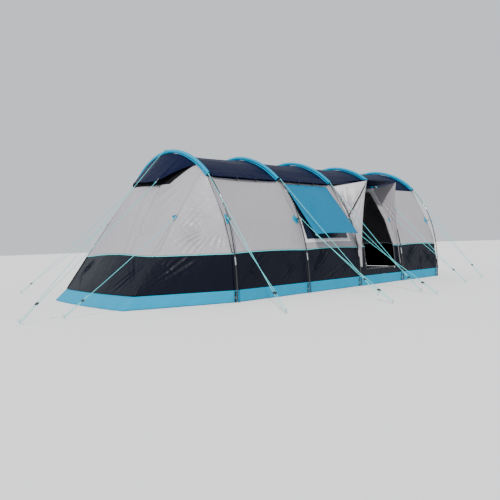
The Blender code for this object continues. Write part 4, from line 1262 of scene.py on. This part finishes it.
class TENT_OT_sleeves(bpy.types.Operator):
    """Make the pole sleeves with their hemmed ends and sewn flanges"""

    bl_idname = "tent.sleeves"
    bl_label = "Sleeves"

    def execute(self, context):
        arc = (SLEEVE_END, math.pi - SLEEVE_END)
        for hoop in range(LAST + 1):
            number = hoop + 1
            cloth(f"sleeve_{number}", lambda a, t, h=hoop: sleeve_point(h, a, t),
                  between(*arc, 190), between(0, 1, 20), "turquoise", weld=True,
                  replaces=[f"pole_sleeve_{number}"], rests_on=[f"pole_hoop_{number}"])
            hems = []
            for start in (arc[0] - 0.001, arc[1] - 0.013):
                hems.append(grid_mesh(lambda a, t, h=hoop: sleeve_point(h, a, t, swell=0.0014),
                                      between(start, start + 0.014, 2), between(0, 1, 20), weld=True))
            put(f"sleeve_hems_{number}", hems, "turquoise", wall=sizes().cloth)
            angles = between(*arc, 120)
            under = hoop_point(hoop, angles, ROOF_INSET - 0.0035)
            facing = hoop_point(hoop, angles, 0) - hoop_point(hoop, angles, 0.01)
            put(f"sleeve_flange_{number}", ribbon_mesh(under, facing, 0.066), "turquoise",
                wall=sizes().cloth)
        return {"FINISHED"}


class TENT_OT_roof(bpy.types.Operator):
    """Make the navy roof and its hemmed eaves"""

    bl_idname = "tent.roof"
    bl_label = "Roof"

    def execute(self, context):
        start, end = SEAM_GAP / BAYS[0], LAST - SEAM_GAP / BAYS[-1]
        us = steps([start, 1, 2, 3, end], sizes().detail * 1.1 / USUAL_BAY)
        arc = (SLEEVE_END, math.pi - SLEEVE_END)
        cloth("roof_cloth", roof_cloth, us, between(*arc, 130), "navy", replaces=["fly_roof"],
              rests_on=[f"pole_hoop_{k + 1}" for k in range(LAST + 1)])
        for name, angle, side in (("near", arc[0] + 0.008, -1), ("far", arc[1] - 0.008, 1)):
            edge = line(roof_cloth, between(start, end, 200), angle)
            put(f"eave_hem_{name}", ribbon_mesh(edge, (0, side, 0.8), sizes().tape, 0.002), "navy",
                wall=sizes().cloth)

            def flange(u, v, rim=SLEEVE_END if side < 0 else math.pi - SLEEVE_END, side=side):
                top = roof_cloth(u, np.full_like(u, rim), stand_off=-0.002)
                foot = wall_cloth(u, np.full_like(u, WALL_TOP - 0.006), side, -0.002)
                return top + (foot - top) * v[..., None]

            put(f"eave_flange_{name}", grid_mesh(flange, between(start, end, 160), between(0, 1, 2)),
                "navy", wall=0.001)
        return {"FINISHED"}


# ---- Walls ---------------------------------------------------------------------------------------
def opening(bay, margins):
    """Where an opening starts and ends along the tent, counted in hoops."""
    return bay + margins[0] / BAYS[bay], bay + 1 - margins[1] / BAYS[bay]


WINDOW = opening(WINDOW_BAY, (WINDOW_MARGIN, WINDOW_MARGIN))
DOOR = opening(DOOR_BAY, DOOR_MARGINS)


class TENT_OT_side_walls(bpy.types.Operator):
    """Make the grey side walls, with their window and door openings and seam tapes"""

    bl_idname = "tent.side_walls"
    bl_label = "Side walls"

    def execute(self, context):
        fine = sizes().detail
        gap = SEAM_GAP / BAYS[0]
        along = fine / USUAL_BAY
        cloth("window_wall_cloth", wall_cloth, steps([gap, 1, *WINDOW, 2 - gap], along),
              steps([LOWEST, WINDOW_SILL, WINDOW_TOP, WALL_TOP], fine), "grey",
              gone=lambda u, v: WINDOW[0] < u < WINDOW[1] and WINDOW_SILL < v < WINDOW_TOP,
              replaces=["window_side_wall"])
        cloth("door_wall_cloth", wall_cloth, steps([2 + gap, *DOOR, 3, 4 - gap], along),
              steps([LOWEST, DOOR_TOP, WALL_TOP], fine), "grey",
              gone=lambda u, v: DOOR[0] < u < DOOR[1] and v < DOOR_TOP,
              replaces=["door_side_wall"], rests_on=["pole_hoop_4"])
        cloth("back_wall_cloth", lambda a, z: wall_cloth(a, z, side=1),
              steps([gap, 1, 2, 3, 4 - gap], along), steps([LOWEST, WALL_TOP], fine), "grey",
              replaces=["back_side_wall"], rests_on=["pole_hoop_3"])
        heights = between(LOWEST, WALL_TOP, 60)
        for side, name in ((-1, "near"), (1, "far")):
            tapes = []
            for hoop in range(LAST + 1):
                place = np.clip(hoop, 0.012, LAST - 0.012)
                seam = line(wall_cloth, place, heights, side=side)
                tapes.append(ribbon_mesh(seam, (0, side, 0.3), sizes().tape, 0.0022))
            put(f"wall_seams_{name}", tapes, "tape", wall=0.001)
        return {"FINISHED"}


class TENT_OT_end_walls(bpy.types.Operator):
    """Make the sloping rear wall and the upright front wall"""

    bl_idname = "tent.end_walls"
    bl_label = "End walls"

    def execute(self, context):
        for name, side_step in (("rear", 40), ("front", 10)):
            qs = spans((-2, -1, side_step), (-1, 1, 110), (1, 2, side_step))
            hoop = ENDS[name]["hoop"] + 1

            def surface(q, up, name=name):
                return end_cloth(name, q, up)

            cloth(f"{name}_wall_cloth", surface, qs, between(0, 1, 80), "grey",
                  replaces=[f"{name}_end_wall"], rests_on=[f"pole_hoop_{hoop}"])
            seams = []
            for side in DIRECTIONS:
                seam = line(surface, side * 1.0, between(0, 1, 60))
                out = outward(seam) + np.array([0, 0, 0.4])
                seams.append(ribbon_mesh(seam, out, sizes().tape, 0.0022))
            put(f"{name}_corner_seams", seams, "tape", wall=0.001)
        return {"FINISHED"}


class TENT_OT_mud_wall(bpy.types.Operator):
    """Make the dark band, its piping, and the turquoise skirt"""

    bl_idname = "tent.mud_wall"
    bl_label = "Mud wall and skirt"

    def execute(self, context):
        fine = sizes().detail
        us = np.concatenate([steps([0, DOOR[0], DOOR[1], 4], fine / USUAL_BAY), between(4, 8, 150)[1:],
                             between(8, 12, 250)[1:], between(12, 16, 230)[1:]])
        low, high = SKIRT_HEIGHT + SEAM_GAP / 2, BAND_HEIGHT - SEAM_GAP / 2
        cloth("mud_wall_cloth", band_cloth, us, steps([low, DOOR_SILL, high], fine), "charcoal",
              gone=lambda u, v: DOOR[0] < u < DOOR[1] and v > DOOR_SILL, weld=True,
              replaces=["mud_wall"], rests_on=["groundsheet"])
        cloth("skirt_cloth", skirt_cloth, us, between(0.003, SKIRT_HEIGHT - SEAM_GAP / 2, 9),
              "turquoise", weld=True, replaces=["mud_skirt"], rests_on=["groundsheet"])
        round_it = spans((DOOR[1], 16, 700), (0, DOOR[0], 110))
        top = line(band_cloth, round_it, BAND_HEIGHT, stand_off=0.003)
        put("mud_wall_piping", tube_mesh(top, sizes().piping / 2, sides=8), "mint_tape")
        hem = line(skirt_cloth, between(0, 16, 900), 0.012)
        put("skirt_hem", ribbon_mesh(hem, outward(hem), 0.018, 0.0018), "turquoise", wall=0.001)
        heights = between(SKIRT_HEIGHT, BAND_HEIGHT, 24)
        seams = []
        for place in [*range(5), 5, 7, *range(8, 13), 13, 15]:
            seam = line(band_cloth, float(place), heights)
            seams.append(ribbon_mesh(seam, outward(seam), sizes().tape, 0.0022))
        put("mud_wall_seams", seams, "charcoal", wall=0.001)
        return {"FINISHED"}


# ---- Window and awning ---------------------------------------------------------------------------
def awning_point(across, down, stand_off=0.0):
    """Propped awning: across from its rear edge, down from its hinge."""
    a, b = awning_hinge()
    reach = hanging(AWNING_LENGTH, AWNING_ANGLE)
    out = unit(np.cross(b - a, reach))
    flat = a + (b - a) * across[..., None] + reach * down[..., None]
    belly = -0.030 * 4 * across * (1 - across) * down ** 0.7
    corners = awning_corners()
    folds = [(corners[0], b + (a - b) * 0.45, (0.02, 0.24), 5, 0.08),
             (corners[1], a + (b - a) * 0.30, (0.02, 0.20), 4, 0.09),
             (corners[0], corners[1] + reach * -0.2, (0.02, 0.16), 4, 0.10),
             (corners[1], corners[0] + reach * -0.2, (0.02, 0.16), 4, 0.10),
             (a, corners[0] + (b - a) * 0.2, (0.03, 0.16), 3, 0.08),
             (b, corners[1] + (a - b) * 0.3, (0.03, 0.18), 4, 0.08)]
    relief = add_pulls(0.003 * wander(flat, 0.4, 71), flat, out, folds, 72)
    hold = smooth(down / 0.08)
    scallop = reach / AWNING_LENGTH * (0.006 * 4 * across * (1 - across))[..., None]
    return flat + out * (belly + relief * hold + stand_off)[..., None] + scallop * down[..., None] ** 2


class TENT_OT_window(bpy.types.Operator):
    """Make the window film with its taped border, and the awning propped over it"""

    bl_idname = "tent.window"
    bl_label = "Window and awning"

    def execute(self, context):
        gap = 0.002
        width = 0.028
        cloth("window_film", lambda a, z: wall_cloth(a, z, stand_off=-0.0012),
              between(WINDOW[0] - gap, WINDOW[1] + gap, 60), between(WINDOW_SILL - gap, WINDOW_TOP + gap, 46),
              "film", replaces=["window_pane"], rests_on=["window_side_wall"])
        inner = (WINDOW[0] + width / USUAL_BAY, WINDOW[1] - width / USUAL_BAY)
        outer = (WINDOW[0] - 0.02, WINDOW[1] + 0.02)
        us = steps([outer[0], inner[0], inner[1], outer[1]], 0.016)
        vs = steps([WINDOW_SILL - 0.024, WINDOW_SILL + width, WINDOW_TOP - width, WINDOW_TOP + 0.024], 0.016)
        border = grid_mesh(lambda a, z: wall_cloth(a, z, stand_off=0.0022), us, vs,
                           gone=lambda u, v: inner[0] < u < inner[1]
                           and WINDOW_SILL + width < v < WINDOW_TOP - width)
        put("window_border", border, "pale_tape", wall=0.001)
        cloth("awning_cloth", awning_point, between(0, 1, 72), between(0, 1, 70), "teal",
              body="awning", replaces=["window_awning"], rests_on=["window_side_wall"])
        hems = []
        reach = hanging(1.0, AWNING_ANGLE)
        out = unit(np.cross(np.array([1.0, 0, 0]), reach))
        run = between(0.004, 0.996, 70)
        for across, down in ((run, 0.988), (0.010, run), (0.990, run)):
            hems.append(ribbon_mesh(line(awning_point, across, down), out, 0.018, 0.0016))
        put("awning_hems", hems, "teal", body="awning", wall=0.001)
        patches, loops = [], []
        for corner, way in zip((0.0, 1.0), (1, -1)):
            def patch_point(u, v, corner=corner, way=way):
                return awning_point(corner + way * 0.09 * u * (1.001 - v), 1 - 0.11 * v, 0.003)
            patches.append(grid_mesh(patch_point, between(0, 1, 6), between(0, 1, 6), weld=True))
            tip = awning_corners()[int(corner)]
            loops.append(ring_mesh(tip + reach * 0.006, (1, 0, 0), reach, 0.011, 0.0022))
        put("awning_patches", patches, "webbing", body="awning", wall=0.0012)
        put("awning_rings", loops, "steel", body="awning")
        return {"FINISHED"}


# ---- Vents and hood ------------------------------------------------------------------------------
def vent_hinge(bay):
    angle = float(hoop_angle(VENT_TOP_HEIGHT))
    a, b = hoop_point(bay, angle, VENT_INSET), hoop_point(bay + 1, angle, VENT_INSET)
    margin = VENT_MARGIN / BAYS[bay]
    return a + (b - a) * margin, a + (b - a) * (1 - margin)


class TENT_OT_vents(bpy.types.Operator):
    """Make the two roof vents: flap, mesh, hem and webbing props"""

    bl_idname = "tent.vents"
    bl_label = "Roof vents"

    def execute(self, context):
        reach = hanging(VENT_LENGTH, VENT_ANGLE)
        for number, bay in enumerate(VENT_BAYS, start=1):
            a, b = vent_hinge(bay)
            out = unit(np.cross(b - a, reach))
            body = f"vent_{number}"

            def flap(u, v, a=a, b=b, out=out, stand_off=0.0):
                flat = a + (b - a) * u[..., None] + reach * v[..., None]
                ripple = 0.004 * wander(flat, 0.3, 81) * v + 0.0025 * crest(u * 40) * v
                return flat + out * (ripple + stand_off)[..., None]

            cloth(f"vent_cover_{number}", flap, between(0, 1, 90), between(0, 1, 10), "navy", body=body,
                  replaces=[f"vent_flap_{number}"], rests_on=["fly_roof"])
            edge = line(flap, between(0, 1, 60), 0.95)
            put(f"vent_hem_{number}", ribbon_mesh(edge, out, 0.014, 0.0015), "navy", body=body, wall=0.001)
            low, high = SLEEVE_END + 0.004, float(hoop_angle(1.735))
            mesh = grid_mesh(lambda u, v: roof_cloth(u, v, stand_off=0.003),
                             between(bay + 0.07, bay + 0.93, 60), between(low, high, 6))
            put(f"vent_screen_{number}", mesh, "mesh", wall=0.001)
            for index, share in enumerate((0.36, 0.66), start=1):
                tip = spot(flap, share, 0.93, stand_off=-0.003)
                root = spot(wall_cloth, bay + 0.06 + share * 0.9, WALL_TOP - 0.03, stand_off=0.004)
                middle = (tip + root) / 2 + np.array([0, -0.018, -0.012])
                t = between(0, 1, 12)[:, None]
                bow = root * (1 - t) ** 2 + middle * 2 * t * (1 - t) + tip * t ** 2
                strap = put(f"vent_prop_{number}_{index}", ribbon_mesh(bow, (0, -1, -0.4), 0.020),
                            "webbing", body=None, wall=0.0015)
                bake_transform(strap)
        return {"FINISHED"}


HOOD_FACING = np.array([-0.75, 0.0, 0.66])


def hood_edge(share):
    """Across and up of the hood's lower edge; share 0 to 1 to the peak and 1 to 2 beyond it."""
    marks = np.array([HOOD_FAR, HOOD_PEAK, HOOD_NEAR])
    across = np.interp(share, [0, 1, 2], marks[:, 0])
    up = np.interp(share, [0, 1, 2], marks[:, 1])
    lift = 1 - np.abs(share - 1)
    droop = np.where(share < 1, 0.10 * 4 * share * (1 - share), 0)
    return across, up - droop, lift


def hood_cloth(share, down):
    """Hood from the hoop down to its lower edge, with folds that fan from the peak."""
    across, low, lift = hood_edge(share)
    point = hood_point(across, 1 - (1 - low) * down, lift * down)
    peak_share = np.abs(share - 1)
    fan = crest(peak_share * 17 + 2 * wander(point, 0.5, 90)) * np.exp(-2.2 * peak_share)
    relief = (0.006 * fan * down * (1.1 - down) * 3 + 0.003 * wander(point, 0.2, 91) * down)
    return point + HOOD_FACING * relief[..., None]


class TENT_OT_hood(bpy.types.Operator):
    """Make the rear vent's hood, its mesh and its pull tab"""

    bl_idname = "tent.hood"
    bl_label = "Rear vent hood"

    def execute(self, context):
        shares = spans((0, 1, 90), (1, 2, 30))
        cloth("hood_cloth", hood_cloth, shares, between(0, 1, 26), "navy", replaces=["rear_vent_hood"],
              rests_on=["rear_end_wall"])
        edge = line(hood_cloth, between(0.01, 1.99, 120), 0.98)
        put("hood_hem", ribbon_mesh(edge, HOOD_FACING, 0.014, 0.0015), "navy", wall=0.001)

        def screen(share, down):
            across, low, _ = hood_edge(share)
            depth = np.interp(share, [0, 0.3, 1, 1.35, 2], [0.01, 0.05, 0.035, 0.11, 0.01])
            return end_cloth("rear", across * 0.97, 0.985 - (0.985 - low + depth) * down,
                             stand_off=0.004)

        put("rear_vent_screen", grid_mesh(screen, between(0.14, 1.9, 70), between(0, 1, 16)), "mesh",
            wall=0.001)
        peak = spot(hood_cloth, 1.0, 1.0)
        tab = [peak + np.array([0.03, 0.0, 0.035]), peak, peak + np.array([-0.014, -0.006, -0.004])]
        put("hood_tab", ribbon_mesh(tab, HOOD_FACING, 0.03, 0.003), "webbing", wall=0.0015)
        crown = hoop_point(0, math.pi / 2, -SLEEVE_RADIUS - 0.002)
        loop = [crown + np.array([0.02, 0, -0.004]), crown, crown + np.array([-0.024, 0, -0.006])]
        put("crown_tab", ribbon_mesh(loop, (0, 0, 1), 0.03, 0.001), "webbing", wall=0.0015)
        put("crown_ring", ring_mesh(crown + np.array([-0.030, 0, 0.004]), (1, 0, 0), (0, 1, 0.2),
                                    0.011, 0.0022), "steel")
        return {"FINISHED"}


# ---- Porch and door ------------------------------------------------------------------------------
def porch_corner(name):
    """Outer corner of the porch roof."""
    hoop, (past, inside, height) = ((DOOR_BAY, PORCH_REAR) if name == "rear" else
                                    (DOOR_BAY + 1, PORCH_FRONT))
    return np.array([HOOP_X[hoop] + past, -(HALF_WIDTH - inside), height])


def porch_panel_point(name, out_share, up_share):
    """Side panel of the porch, from the wall out and from its hem up."""
    hoop, along = (DOOR_BAY, 1) if name == "rear" else (DOOR_BAY + 1, -1)
    height = PORCH_HEM + up_share * (WALL_TOP - PORCH_TOP_DROP - PORCH_HEM)
    x = hoop_x(hoop, height) + along * PORCH_STAND_OFF
    inner = xyz(x, -(wall_y(height) + PORCH_GAP), height)
    low = xyz(x + along * PORCH_SPLAY, -(HALF_WIDTH - PORCH_GAP), PORCH_HEM)
    top = porch_corner(name)
    outer = low + (top - low) * up_share[..., None]
    flat = inner + (outer - inner) * out_share[..., None]
    foot = np.array([hoop_x(hoop, PORCH_HEM) + along * 0.05, -HALF_WIDTH, PORCH_HEM])
    neck = np.array([hoop_x(hoop, WALL_TOP) + along * 0.03, -wall_y(WALL_TOP), WALL_TOP])
    facing = np.array([-along, -0.6, 0.1])
    folds = [(top, foot + (0, 0.35, 0.45), (0.03, 0.24), 4, 0.12),
             (foot, top + (-along * 0.3, 0.35, 0.0), (0.03, 0.26), 4, 0.11),
             (neck, foot + (along * 0.2, 0, 0.5), (0.03, 0.22), 4, 0.10)]
    relief = add_pulls(0.004 * wander(flat, 0.35, 120 + hoop), flat, facing, folds, 121 + hoop * 5)
    hollow = -0.035 * 4 * up_share * (1 - up_share) * out_share ** 2
    hold = smooth(out_share / 0.15)
    flat[..., 1] -= hollow
    return flat + unit(facing) * (relief * hold)[..., None]


def porch_roof_point(across, out_share):
    """Porch roof, across from its rear edge and out from the walls."""
    margin = PORCH_ROOF_MARGIN / BAYS[DOOR_BAY]
    share = margin + (1 - 2 * margin) * across
    lift = PORCH_RISE * mid_bay(share)
    back = wall_point(DOOR_BAY + share, WALL_TOP, stand_off=PORCH_GAP - lift * PORCH_ROOF_BACK)
    back[..., 2] += lift + PORCH_ROOF_CLEARANCE
    rear, front = (porch_corner(n) + (0, 0, PORCH_ROOF_CLEARANCE) for n in ("rear", "front"))
    edge = rear + (front - rear) * across[..., None]
    edge[..., 1] += 0.030 * 4 * across * (1 - across)
    flat = back + (edge - back) * out_share[..., None]
    ripple = 0.004 * wander(flat, 0.3, 131) + 0.003 * crest(across * 21) * out_share * (1 - out_share) * 4
    flat[..., 2] += ripple * smooth(out_share / 0.2)
    return flat


def leaf_point(share, up):
    """Door leaf, swung inside and tied back; share runs from its hinge to its free edge."""
    gap = DOOR_GAP / BAYS[DOOR_BAY]
    low, high = DOOR_SILL + LEAF_LIFT, DOOR_TOP - DOOR_GAP
    along = DOOR[0] + gap + (DOOR[1] - DOOR[0] - 2 * gap) * share
    shut = wall_point(along, low + (high - low) * up)
    shut[..., 1] -= 0.004 * wander(shut, 0.3, 140) * smooth(share / 0.1)
    foot = wall_point(DOOR[0] + gap, low)
    head = wall_point(DOOR[0] + gap, high)
    turn = np.array(Matrix.Rotation(math.radians(DOOR_OPEN_ANGLE), 3, Vector(unit(head - foot))))
    return foot + (shut - foot) @ turn.T


class TENT_OT_porch(bpy.types.Operator):
    """Make the porch over the door: two side panels, a roof, its hems and straps"""

    bl_idname = "tent.porch"
    bl_label = "Porch"

    def execute(self, context):
        for name in ("rear", "front"):
            hoop = DOOR_BAY + 1 if name == "rear" else DOOR_BAY + 2
            cloth(f"porch_{name}_cloth", lambda u, v, n=name: porch_panel_point(n, u, v),
                  between(0, 1, 34), between(0, 1, 78), "grey", replaces=[f"porch_{name}_panel"],
                  rests_on=[f"pole_hoop_{hoop}"])
            along = 1 if name == "rear" else -1
            facing = (-along, -0.6, 0.1)
            edge = line(lambda u, v, n=name: porch_panel_point(n, u, v), 0.975, between(0, 1, 60))
            put(f"porch_{name}_binding", ribbon_mesh(edge, facing, 0.020, 0.002), "tape", wall=0.001)
        cloth("porch_roof_cloth", porch_roof_point, between(0, 1, 60), between(0, 1, 28), "navy",
              replaces=["porch_roof"], rests_on=["pole_hoop_3", "pole_hoop_4"])
        edge = line(porch_roof_point, between(0.003, 0.997, 60), 0.975)
        put("porch_roof_hem", ribbon_mesh(edge, (0, -0.3, 1), 0.020, 0.002), "navy", wall=0.001)
        knee = spot(wall_cloth, DOOR_BAY + 0.04, TAB_HEIGHT + 0.05, stand_off=0.02)
        straps = []
        for shift in (0.0, 0.022):
            top = porch_corner("rear") + (0.0, 0.01, -0.03 - shift)
            t = between(0, 1, 16)[:, None]
            straps.append(ribbon_mesh(top + (knee + (0, 0, -shift) - top) * t, (-1, -0.6, 0.2), 0.008, 0.012))
        put("porch_straps", straps, "webbing", wall=0.0012)
        return {"FINISHED"}


class TENT_OT_door(bpy.types.Operator):
    """Make the tied-back door, the binding round its opening, and the zip with its slider"""

    bl_idname = "tent.door"
    bl_label = "Door"

    def execute(self, context):
        cloth("door_cloth", leaf_point, between(0, 1, 44), between(0, 1, 70), "grey", body="door",
              replaces=["door_leaf"], rests_on=["door_side_wall"])
        edge = []
        run = between(0.01, 0.99, 60)
        corner = leaf_point(np.array([0.0, 1.0, 0.0]), np.array([0.0, 0.0, 1.0]))
        facing = unit(np.cross(corner[1] - corner[0], corner[2] - corner[0]))
        for share, up in ((0.985, run), (run, 0.992), (run, 0.008)):
            edge.append(ribbon_mesh(line(leaf_point, share, up), facing, 0.018, 0.002))
        put("door_zip_tape", edge, "webbing", body="door", wall=0.0015)
        bindings, teeth = [], []
        heights = between(LOWEST, DOOR_TOP, 60)
        lower = between(DOOR_SILL, BAND_HEIGHT, 24)
        for along, way in ((DOOR[0], -1), (DOOR[1], 1)):
            shift = way * 0.012 / USUAL_BAY
            seam = line(wall_cloth, along + shift, heights)
            bindings.append(ribbon_mesh(seam, (0, -1, 0.3), 0.026, 0.0024))
            bindings.append(ribbon_mesh(line(band_cloth, along + shift, lower), (0, -1, 0), 0.026, 0.0024))
            edge = [*line(band_cloth, along, lower), *line(wall_cloth, along, heights)]
            teeth.append(tube_mesh(np.array(edge) + (0, -0.003, 0), 0.0022, sides=6))
        across = between(DOOR[0] - 0.01, DOOR[1] + 0.01, 40)
        bindings.append(ribbon_mesh(line(wall_cloth, across, DOOR_TOP + 0.012), (0, -1, 0.4), 0.026, 0.0026))
        bindings.append(ribbon_mesh(line(band_cloth, across, DOOR_SILL - 0.012), (0, -1, 0), 0.026, 0.0026))
        put("door_bindings", bindings, "webbing", wall=0.0012)
        put("door_zip_teeth", teeth, "plastic")
        low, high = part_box("door_zip_slider")
        centre = np.array((low + high) / 2) - ORIGIN
        parts = [box_mesh((0.032, 0.007, 0.013), centre, bevel=0.0025),
                 box_mesh((0.020, 0.004, 0.004), centre + (0, -0.006, 0), bevel=0.0012),
                 ring_mesh(centre + (0, -0.007, -0.010), (1, 0, 0), (0, -0.2, 1), 0.005, 0.0012, stretch=1.8)]
        put("zip_slider", parts, "steel", body="zip", replaces=["door_zip_slider"])
        return {"FINISHED"}


# ---- Inside --------------------------------------------------------------------------------------
def bedroom_point(section, turn):
    """Inner tent: section 0 to 1 is its rear, 1 to 3 its length and 3 to 4 its partition."""
    tail_width, tail_height = INNER_TAIL
    x = np.interp(section, [0, 1, 2, 3, 4], [INNER_REAR, INNER_REAR, 0, INNER_FRONT, INNER_FRONT])
    width = np.interp(section, [0, 1, 2, 3, 4], [0.02, tail_width, *[INNER_HALF_WIDTH] * 3])
    height = np.interp(section, [0, 1, 2, 3, 4],
                       [0.02, tail_height, INNER_HEIGHT - 0.06, INNER_HEIGHT, INNER_HEIGHT])
    shrink = np.interp(section, [3, 4], [1, 0.8])
    raised = np.interp(section, [0, 1], [tail_height * 0.45, 0])
    angle = math.pi * np.clip(turn / 0.8, 0, 1)
    y = -np.sign(np.cos(angle)) * np.abs(np.cos(angle)) ** 0.7 * width
    y = np.where(turn > 0.8, width * (1 - 2 * np.clip((turn - 0.8) / 0.2, 0, 1)), y)
    z = np.clip(np.sin(angle), 0, 1) ** 0.75 * height
    gather = 0.010 * crest(turn * 90) * np.interp(section, [0, 1.5, 2.6, 3], [0, 1, 1, 0]) * (turn < 0.8)
    scale = shrink * (1 - gather / 1.3)
    return xyz(x, y * scale, INNER_FLOOR + 0.1 * (1 - shrink) + raised + z * scale)


class TENT_OT_inside(bpy.types.Operator):
    """Make the hung bedroom and the groundsheet"""

    bl_idname = "tent.inside"
    bl_label = "Bedroom and groundsheet"

    def execute(self, context):
        sections = spans((0, 1, 6), (1, 2, 22), (2, 3, 30), (3, 4, 6))
        cloth("bedroom_cloth", bedroom_point, sections, between(0, 1, 200), "inner", held="hung",
              weld=True, replaces=["bedroom_inner"], rests_on=["fly_roof"])
        rim = bedroom_point(np.full(120, 4.0), np.linspace(0, 1, 120, endpoint=False))
        put("bedroom_binding", tube_mesh(rim + (0.003, 0, 0), 0.006, closed=True), "webbing")
        level = ring_point(between(0, 16, 64), np.zeros(65))
        middle = np.array([(level[:, 0].max() + level[:, 0].min()) / 2, 0, 0])

        def sheet_point(place, share):
            edge = ring_point(place, np.zeros_like(place)) - middle
            bump = 0.0008 * wander(edge * share[..., None], 0.2, 160)
            return middle + edge * (share * SHEET_SHARE)[..., None] + xyz(0, 0, 0.0018 + bump)

        cloth("groundsheet_cloth", sheet_point, between(0, 16, 320), between(0.001, 1, 40), "floor",
              held="laid", weld=True, replaces=["groundsheet"], rests_on=["mud_skirt"],
              flat=[float(size) for size in SHEET_SHARE * np.ptp(level[:, :2], axis=0)])
        return {"FINISHED"}


# ---- Tabs ----------------------------------------------------------------------------------------
class TENT_OT_tabs(bpy.types.Operator):
    """Make the guy tabs on the legs, sleeve ends and rear corners"""

    bl_idname = "tent.tabs"
    bl_label = "Guy tabs"

    def execute(self, context):
        for side, side_name in ((-1, "near"), (1, "far")):
            patches, straps, buckles = [], [], []
            for hoop in range(LAST + 1):
                place = np.clip(hoop, 0.03, LAST - 0.03)

                def patch(u, v, place=place):
                    half = 0.055 * (1 - np.abs(v))
                    return wall_cloth(np.clip(place + half * u, 0.01, LAST - 0.01),
                                      TAB_HEIGHT + 0.07 * v, side, 0.0035)

                patches.append(grid_mesh(patch, between(-1, 1, 6), between(-1, 1, 10), weld=True))
                wall = spot(wall_cloth, place, TAB_HEIGHT, side=side, stand_off=0.004)
                pole = hoop_point(hoop, hoop_angle(TAB_HEIGHT), -POLE_RADIUS - 0.002)
                pole[1] = side * abs(pole[1])
                strap = np.linspace(wall, pole, 6)
                strap[1:-1, 2] -= 0.006
                straps.append(ribbon_mesh(strap, (0, 0.3 * side, 1), sizes().webbing))
                buckles.append(ring_mesh(pole - np.array([0, side * 0.008, 0]), (1, 0, 0), (0, side, 0.15),
                                         0.015, 0.003, stretch=0.9))
                buckles.append(box_mesh((0.030, 0.012, 0.020), (wall + pole) / 2, bevel=0.003))
                high = hoop_point(hoop, hoop_angle(SLEEVE_END_HEIGHT - 0.015), -POLE_RADIUS - 0.002)
                high[1] = side * abs(high[1])
                eave = np.array([high[0], side * (wall_y(WALL_TOP) + 0.006), WALL_TOP + 0.004])
                straps.append(ribbon_mesh(np.linspace(eave, high, 5), (0, 0.5 * side, 1), sizes().webbing))
                buckles.append(ring_mesh(high - np.array([0, side * 0.008, 0]), (1, 0, 0), (0, side, 0.15),
                                         0.014, 0.0025, stretch=0.9))
            put(f"tab_patches_{side_name}", patches, "turquoise", wall=0.001)
            put(f"tab_straps_{side_name}", straps, "webbing", wall=0.0018)
            put(f"tab_buckles_{side_name}", buckles, "plastic")
        corners, rings = [], []
        for side in DIRECTIONS:
            def gusset(u, v, side=side):
                half = 0.07 * (1 - np.abs(v))
                q = side * (1 + np.where(u > 0, 0.4, 1.0) * half * u)
                return end_cloth("rear", q, 0.425 + 0.040 * v, 0.0035)
            corners.append(grid_mesh(gusset, between(-1, 1, 8), between(-1, 1, 10), weld=True))
            rings.append(ring_mesh(seam_tab(side) + np.array([0.004, 0, 0]), (-1, side, 0), (0, 0, 1),
                                   0.010, 0.0022))
        put("corner_tabs", corners, "teal", wall=0.001)
        put("corner_rings", rings, "steel")
        return {"FINISHED"}


# ---- Panel and run -------------------------------------------------------------------------------
PIECES = (TENT_OT_stage, TENT_OT_guy_lines, TENT_OT_poles, TENT_OT_sleeves, TENT_OT_roof,
          TENT_OT_side_walls, TENT_OT_end_walls, TENT_OT_mud_wall, TENT_OT_window, TENT_OT_vents,
          TENT_OT_hood, TENT_OT_porch, TENT_OT_door, TENT_OT_inside, TENT_OT_tabs)


class TENT_PT_panel(bpy.types.Panel):
    """Sizes, colours and pieces of the tent"""

    bl_label = "Tunnel Tent"
    bl_idname = "TENT_PT_panel"
    bl_space_type = "VIEW_3D"
    bl_region_type = "UI"
    bl_category = "Tent"

    def draw(self, context):
        for group in (context.scene.tent_sizes, context.scene.tent_colours):
            for name in group.__annotations__:
                self.layout.prop(group, name)
        for piece in PIECES:
            self.layout.operator(piece.bl_idname)


CLASSES = (TENT_PG_sizes, TENT_PG_colours, *PIECES, TENT_PT_panel)


def register():
    for item in CLASSES:
        bpy.utils.register_class(item)
    bpy.types.Scene.tent_sizes = PointerProperty(type=TENT_PG_sizes)
    bpy.types.Scene.tent_colours = PointerProperty(type=TENT_PG_colours)


def unregister():
    del bpy.types.Scene.tent_colours
    del bpy.types.Scene.tent_sizes
    for item in reversed(CLASSES):
        bpy.utils.unregister_class(item)


def main():
    register()
    bpy.ops.tent.stage()
    bpy.ops.tent.guy_lines()
    bpy.ops.tent.poles()
    bpy.ops.tent.sleeves()
    bpy.ops.tent.roof()
    bpy.ops.tent.side_walls()
    bpy.ops.tent.end_walls()
    bpy.ops.tent.mud_wall()
    bpy.ops.tent.window()
    bpy.ops.tent.vents()
    bpy.ops.tent.hood()
    bpy.ops.tent.porch()
    bpy.ops.tent.door()
    bpy.ops.tent.inside()
    bpy.ops.tent.tabs()


if __name__ == "__main__":
    main()
